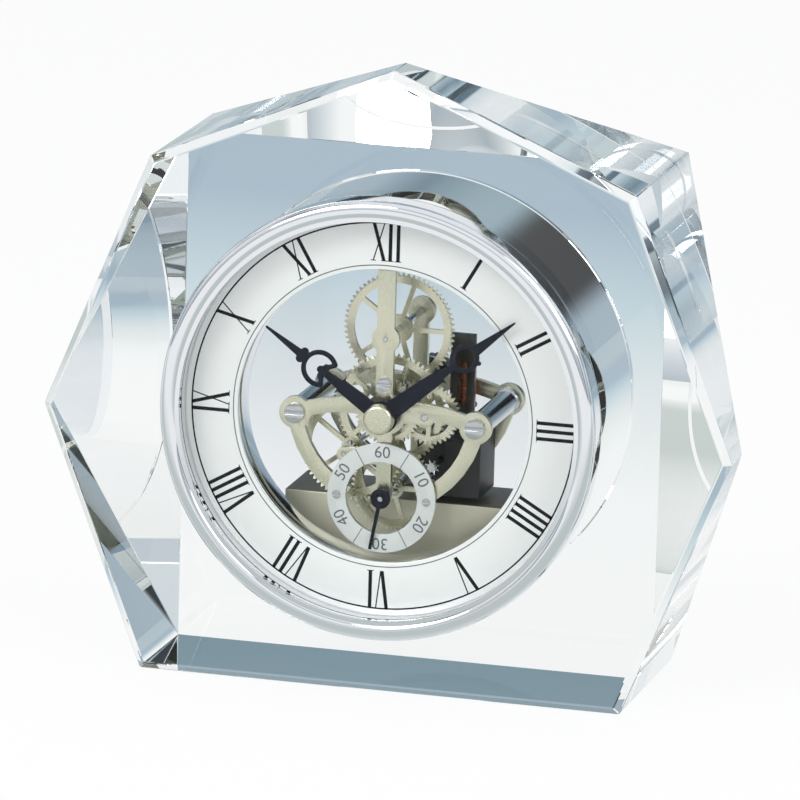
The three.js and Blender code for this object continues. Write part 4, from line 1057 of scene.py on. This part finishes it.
class Movement(bpy.types.Operator):
    """Makes the plates, bridge, pillars and screws of the movement"""

    bl_idname = "clock.movement"
    bl_label = "Movement"

    def execute(self, context):
        edge = sizes().plate_edge
        for node in ("front_plate", "back_plate", "top_bridge"):
            rounded_copy(node + "_plated", node, "case", "champagne", champagne_plate(), edge)
        screws = [f"{end}_screw_{side}" for end in ("front", "back") for side in ("left", "right")]
        steel_copies(screws + ["bridge_screw"], "_bright", 0.1 * MM)
        steel_copies(("pillar_left", "pillar_right"), "_turned", 0.18 * MM, 3)
        return {"FINISHED"}


class Drive(bpy.types.Operator):
    """Makes the motor, its coil, and the battery holder with its cell"""

    bl_idname = "clock.drive"
    bl_label = "Drive"

    def execute(self, context):
        for node, ending, slot, material, edge in (
            ("motor_module", "_moulded", "dark_plastic", moulded_black(), 0.4 * MM),
            ("stator", "_stack", "steel", dark_steel(), 0.1 * MM),
            ("motor_coil", "_wound", "copper", wound_copper(), 0.1 * MM),
            ("battery_holder", "_plated", "champagne", satin_holder(), 0.35 * MM),
            ("battery_cell", "_sleeved", "cell_skin", cell_sleeve(), 0.3 * MM),
        ):
            rounded_copy(node + ending, node, "case", slot, material, edge)
        # The holder's upward faces take a dark olive colour instead of its champagne
        upward = 0.8
        holder = bpy.data.objects["battery_holder_plated"].data
        holder.materials.append(olive_plate())
        for face in holder.polygons:
            if face.normal.z > upward:
                face.material_index = 1
        steel_copies(("contact_positive", "contact_spring"), "_bright", 0.05 * MM, 1)
        return {"FINISHED"}


class Knob(bpy.types.Operator):
    """Makes the ribbed setting knob"""

    bl_idname = "clock.knob"
    bl_label = "Setting knob"

    def execute(self, context):
        black = moulded_black()
        rounded_copy("knob_moulded", "setting_knob", "minutes", "dark_plastic", black, 0.15 * MM)
        return {"FINISHED"}


# Stage

def wall_colours(tree, height):
    """The backdrop behind the clock by height, with a thin dark band."""
    far, mid = colours().backdrop, colours().backdrop_middle
    return ramp(tree, height, (
        (0.0, (0.36, 0.45, 0.52)), (0.12, (0.33, 0.42, 0.49)), (0.24, far), (0.3, (0.23, 0.33, 0.385)),
        (0.42, mid), (0.46, (0.6, 0.7, 0.75)), (0.475, (0.06, 0.09, 0.13)), (0.53, (0.1, 0.15, 0.2)),
        (0.55, (0.7, 0.78, 0.82)), (0.65, (0.95, 0.96, 0.97)), (1.0, (1, 1, 1)),
    ))


def front_colours(tree, height):
    """The studio in front of the clock by height."""
    return ramp(tree, height, (
        (0.0, (0.5, 0.56, 0.61)), (0.12, (0.66, 0.71, 0.75)), (0.3, (0.97, 0.98, 0.98)),
        (0.62, (1, 1, 1)), (0.72, (0.4, 0.46, 0.5)), (0.85, (0.9, 0.93, 0.95)),
    ))


def side_strips(tree, x, y, z):
    """A mask of thin upright strips at both sides, uneven and leaning."""
    count, unevenness, lean, phase = 17, 2, 5, 1.3
    angle = calc(tree, "ARCTAN2", x, y)
    wave = calc(tree, "SINE", times(tree, angle, 5))
    wave = calc(tree, "MULTIPLY_ADD", angle, count, times(tree, wave, unevenness))
    wave = calc(tree, "MULTIPLY_ADD", z, lean, wave)
    wave = calc(tree, "SINE", calc(tree, "SUBTRACT", wave, phase))
    aside = spread(tree, calc(tree, "ABSOLUTE", x), 0.32, 0.48)
    return times(tree, spread(tree, wave, 0.76, 0.9), aside)


def studio_colours(tree):
    """A pale studio, a blue-grey backdrop behind it, a dark card and dark strips at the sides."""
    way = place(tree, "Generated")
    x, y, z = split(tree, way)
    behind = spread(tree, y, -0.1, 0.4)
    studio = mix_colours(tree, behind, front_colours(tree, z), wall_colours(tree, z))
    # The way to the card and its darkness, cosines of its edges, and the heights of its soft foot
    aim, darkness = Vector((0.38, 0.9, 0.22)).normalized(), 0.97
    outer, inner, foot, head = 0.93, 0.965, 0.06, 0.16
    card = spread(tree, vector_calc(tree, "DOT_PRODUCT", way, aim, result="Value"), outer, inner)
    card = times(tree, card, spread(tree, z, foot, head))
    shade = calc(tree, "MULTIPLY_ADD", card, -darkness, 1)
    studio = mix_colours(tree, 1, studio, shade, "MULTIPLY")
    return mix_colours(tree, side_strips(tree, x, y, z), studio, (0.02, 0.028, 0.035))


def studio_world():
    """White to the camera, the studio to metal and glass, plain soft light to the rest."""
    world = bpy.data.worlds.new("studio")
    bpy.context.scene.world = world
    world.use_nodes = True
    tree = world.node_tree
    tree.nodes.clear()
    path = add(tree, "ShaderNodeLightPath").outputs
    soft = add(tree, "ShaderNodeBackground", Color=(0.95, 0.97, 1.0), Strength=0.7)
    studio = add(tree, "ShaderNodeBackground", Color=studio_colours(tree))
    white = add(tree, "ShaderNodeBackground", Color=(1, 1, 1))
    bounced = calc(tree, "MAXIMUM", path["Is Glossy Ray"], path["Is Transmission Ray"])
    light = mix_shaders(tree, bounced, soft, studio)
    seen = mix_shaders(tree, path["Is Camera Ray"], light, white)
    add(tree, "ShaderNodeOutputWorld", Surface=seen.outputs[0])


def pale_floor():
    """White to the camera; through the glass it shades off into the backdrop with distance, and a
    painted shadow lies on it just in front of the clock.
    """
    material, tree, shader = start_material("pale_floor", Base_Color=(0.9, 0.9, 0.9), Roughness=0.8)
    # The near tone from -0.17 to -0.05, just in front of the clock, is a painted shadow that the
    # chrome and the glass show
    white, near, mid = (0.98, 0.98, 0.98), (0.55, 0.61, 0.58), colours().backdrop_middle
    stops = (
        (-0.3, white), (-0.17, near), (-0.05, near), (0.0, white), (0.1, white),
        (0.2, (0.93, 0.94, 0.94)), (0.3, (0.76, 0.81, 0.82)), (0.405, mid),
        (0.53, (0.31, 0.43, 0.53)), (0.75, (0.33, 0.43, 0.51)), (1.0, (0.4, 0.5, 0.56)),
    )
    first, span = -0.5, 1.5
    _, y, _ = split(tree, place(tree))
    away = calc(tree, "MULTIPLY_ADD", y, 1 / span, -first / span)
    shade = ramp(tree, away, [((depth - first) / span, tone) for depth, tone in stops])
    path = add(tree, "ShaderNodeLightPath").outputs
    tone = mix_colours(tree, path["Is Camera Ray"], shade, (1, 1, 1))
    glow = add(tree, "ShaderNodeEmission", Color=tone)
    seen = calc(tree, "MAXIMUM", path["Is Camera Ray"], path["Is Glossy Ray"])
    seen = calc(tree, "MAXIMUM", seen, path["Is Transmission Ray"])
    glow_share = 0.88
    surface(tree, mix_shaders(tree, times(tree, seen, glow_share), shader, glow))
    return material


def soft_lamp(name, spot, size, power):
    lamp = bpy.data.lights.new(name, "AREA")
    lamp.size = size
    lamp.energy = power
    holder = new_object(name, lamp)
    holder.location = spot
    holder.rotation_mode = "QUATERNION"
    target = Vector((0, 0, 0.07))
    holder.rotation_quaternion = (target - Vector(spot)).to_track_quat("-Z", "Y")


def photo_camera():
    """The photograph's camera, fitted to the front corners of the block."""
    azimuth, elevation, roll = (math.radians(angle) for angle in (14.99, 13.49, 1.549))
    distance, aim_height, sensor = 2.0078, 0.075, 36
    picture, focal, centre_x, centre_y = 800, 8548, 383.9, 385.0
    level = math.cos(elevation)
    out = Vector((math.sin(azimuth) * level, -math.cos(azimuth) * level, math.sin(elevation)))
    right = (-out).cross(Vector((0, 0, 1))).normalized()
    up = right.cross(-out)
    cosine, sine = math.cos(roll), math.sin(roll)
    right, up = cosine * right + sine * up, cosine * up - sine * right
    target = Vector((0, low("crystal_block").y, aim_height))
    turn = Matrix((right, up, out)).transposed().to_4x4()
    lens = bpy.data.cameras.new("photo")
    lens.sensor_width = sensor
    lens.lens = focal / picture * sensor
    lens.shift_x = (picture / 2 - centre_x) / picture
    lens.shift_y = (centre_y - picture / 2) / picture
    lens.clip_end = 50
    camera = new_object("photo", lens)
    camera.matrix_world = Matrix.Translation(target + out * distance) @ turn
    bpy.context.scene.camera = camera


class Stage(bpy.types.Operator):
    """Makes the floor, the light and the camera"""

    bl_idname = "clock.stage"
    bl_label = "Stage"

    def execute(self, context):
        mesh = bpy.data.meshes.new("floor")
        reach, drop = 3, 0.2 * MM
        corners = [(x, y, -drop) for y in (-reach, reach) for x in (-reach, reach)]
        mesh.from_pydata(corners, [], [(0, 1, 3, 2)])
        mesh.materials.append(pale_floor())
        new_object("floor", mesh)
        studio_world()
        soft_lamp("key", (-0.7, -1.1, 1.1), size=0.7, power=12)
        soft_lamp("fill", (1.0, -0.6, 0.8), size=0.8, power=5)
        photo_camera()
        bpy.context.scene.view_settings.view_transform = "Standard"
        return {"FINISHED"}


class ClockPanel(bpy.types.Panel):
    """Lists the clock's makers, sizes and colours in the sidebar"""

    bl_idname = "VIEW3D_PT_clock"
    bl_label = "Crystal clock"
    bl_space_type = "VIEW_3D"
    bl_region_type = "UI"
    bl_category = "Clock"

    def draw(self, context):
        for step in STEPS:
            self.layout.operator(step.bl_idname)
        for group in (sizes(), colours()):
            for name in group.bl_rna.properties.keys():
                if name not in ("rna_type", "name"):
                    self.layout.prop(group, name)


STEPS = (CrystalBlock, Case, Dial, SmallDial, Hands, Wheels, Movement, Drive, Knob, Stage)
CLASSES = (ClockSizes, ClockColours, *STEPS, ClockPanel)


def register():
    for item in CLASSES:
        bpy.utils.register_class(item)
    bpy.types.Scene.clock_sizes = bpy.props.PointerProperty(type=ClockSizes)
    bpy.types.Scene.clock_colours = bpy.props.PointerProperty(type=ClockColours)


def unregister():
    del bpy.types.Scene.clock_sizes
    del bpy.types.Scene.clock_colours
    for item in reversed(CLASSES):
        bpy.utils.unregister_class(item)


def main():
    register()
    for step in STEPS:
        group, name = step.bl_idname.split(".")
        getattr(getattr(bpy.ops, group), name)()


if __name__ == "__main__":
    main()
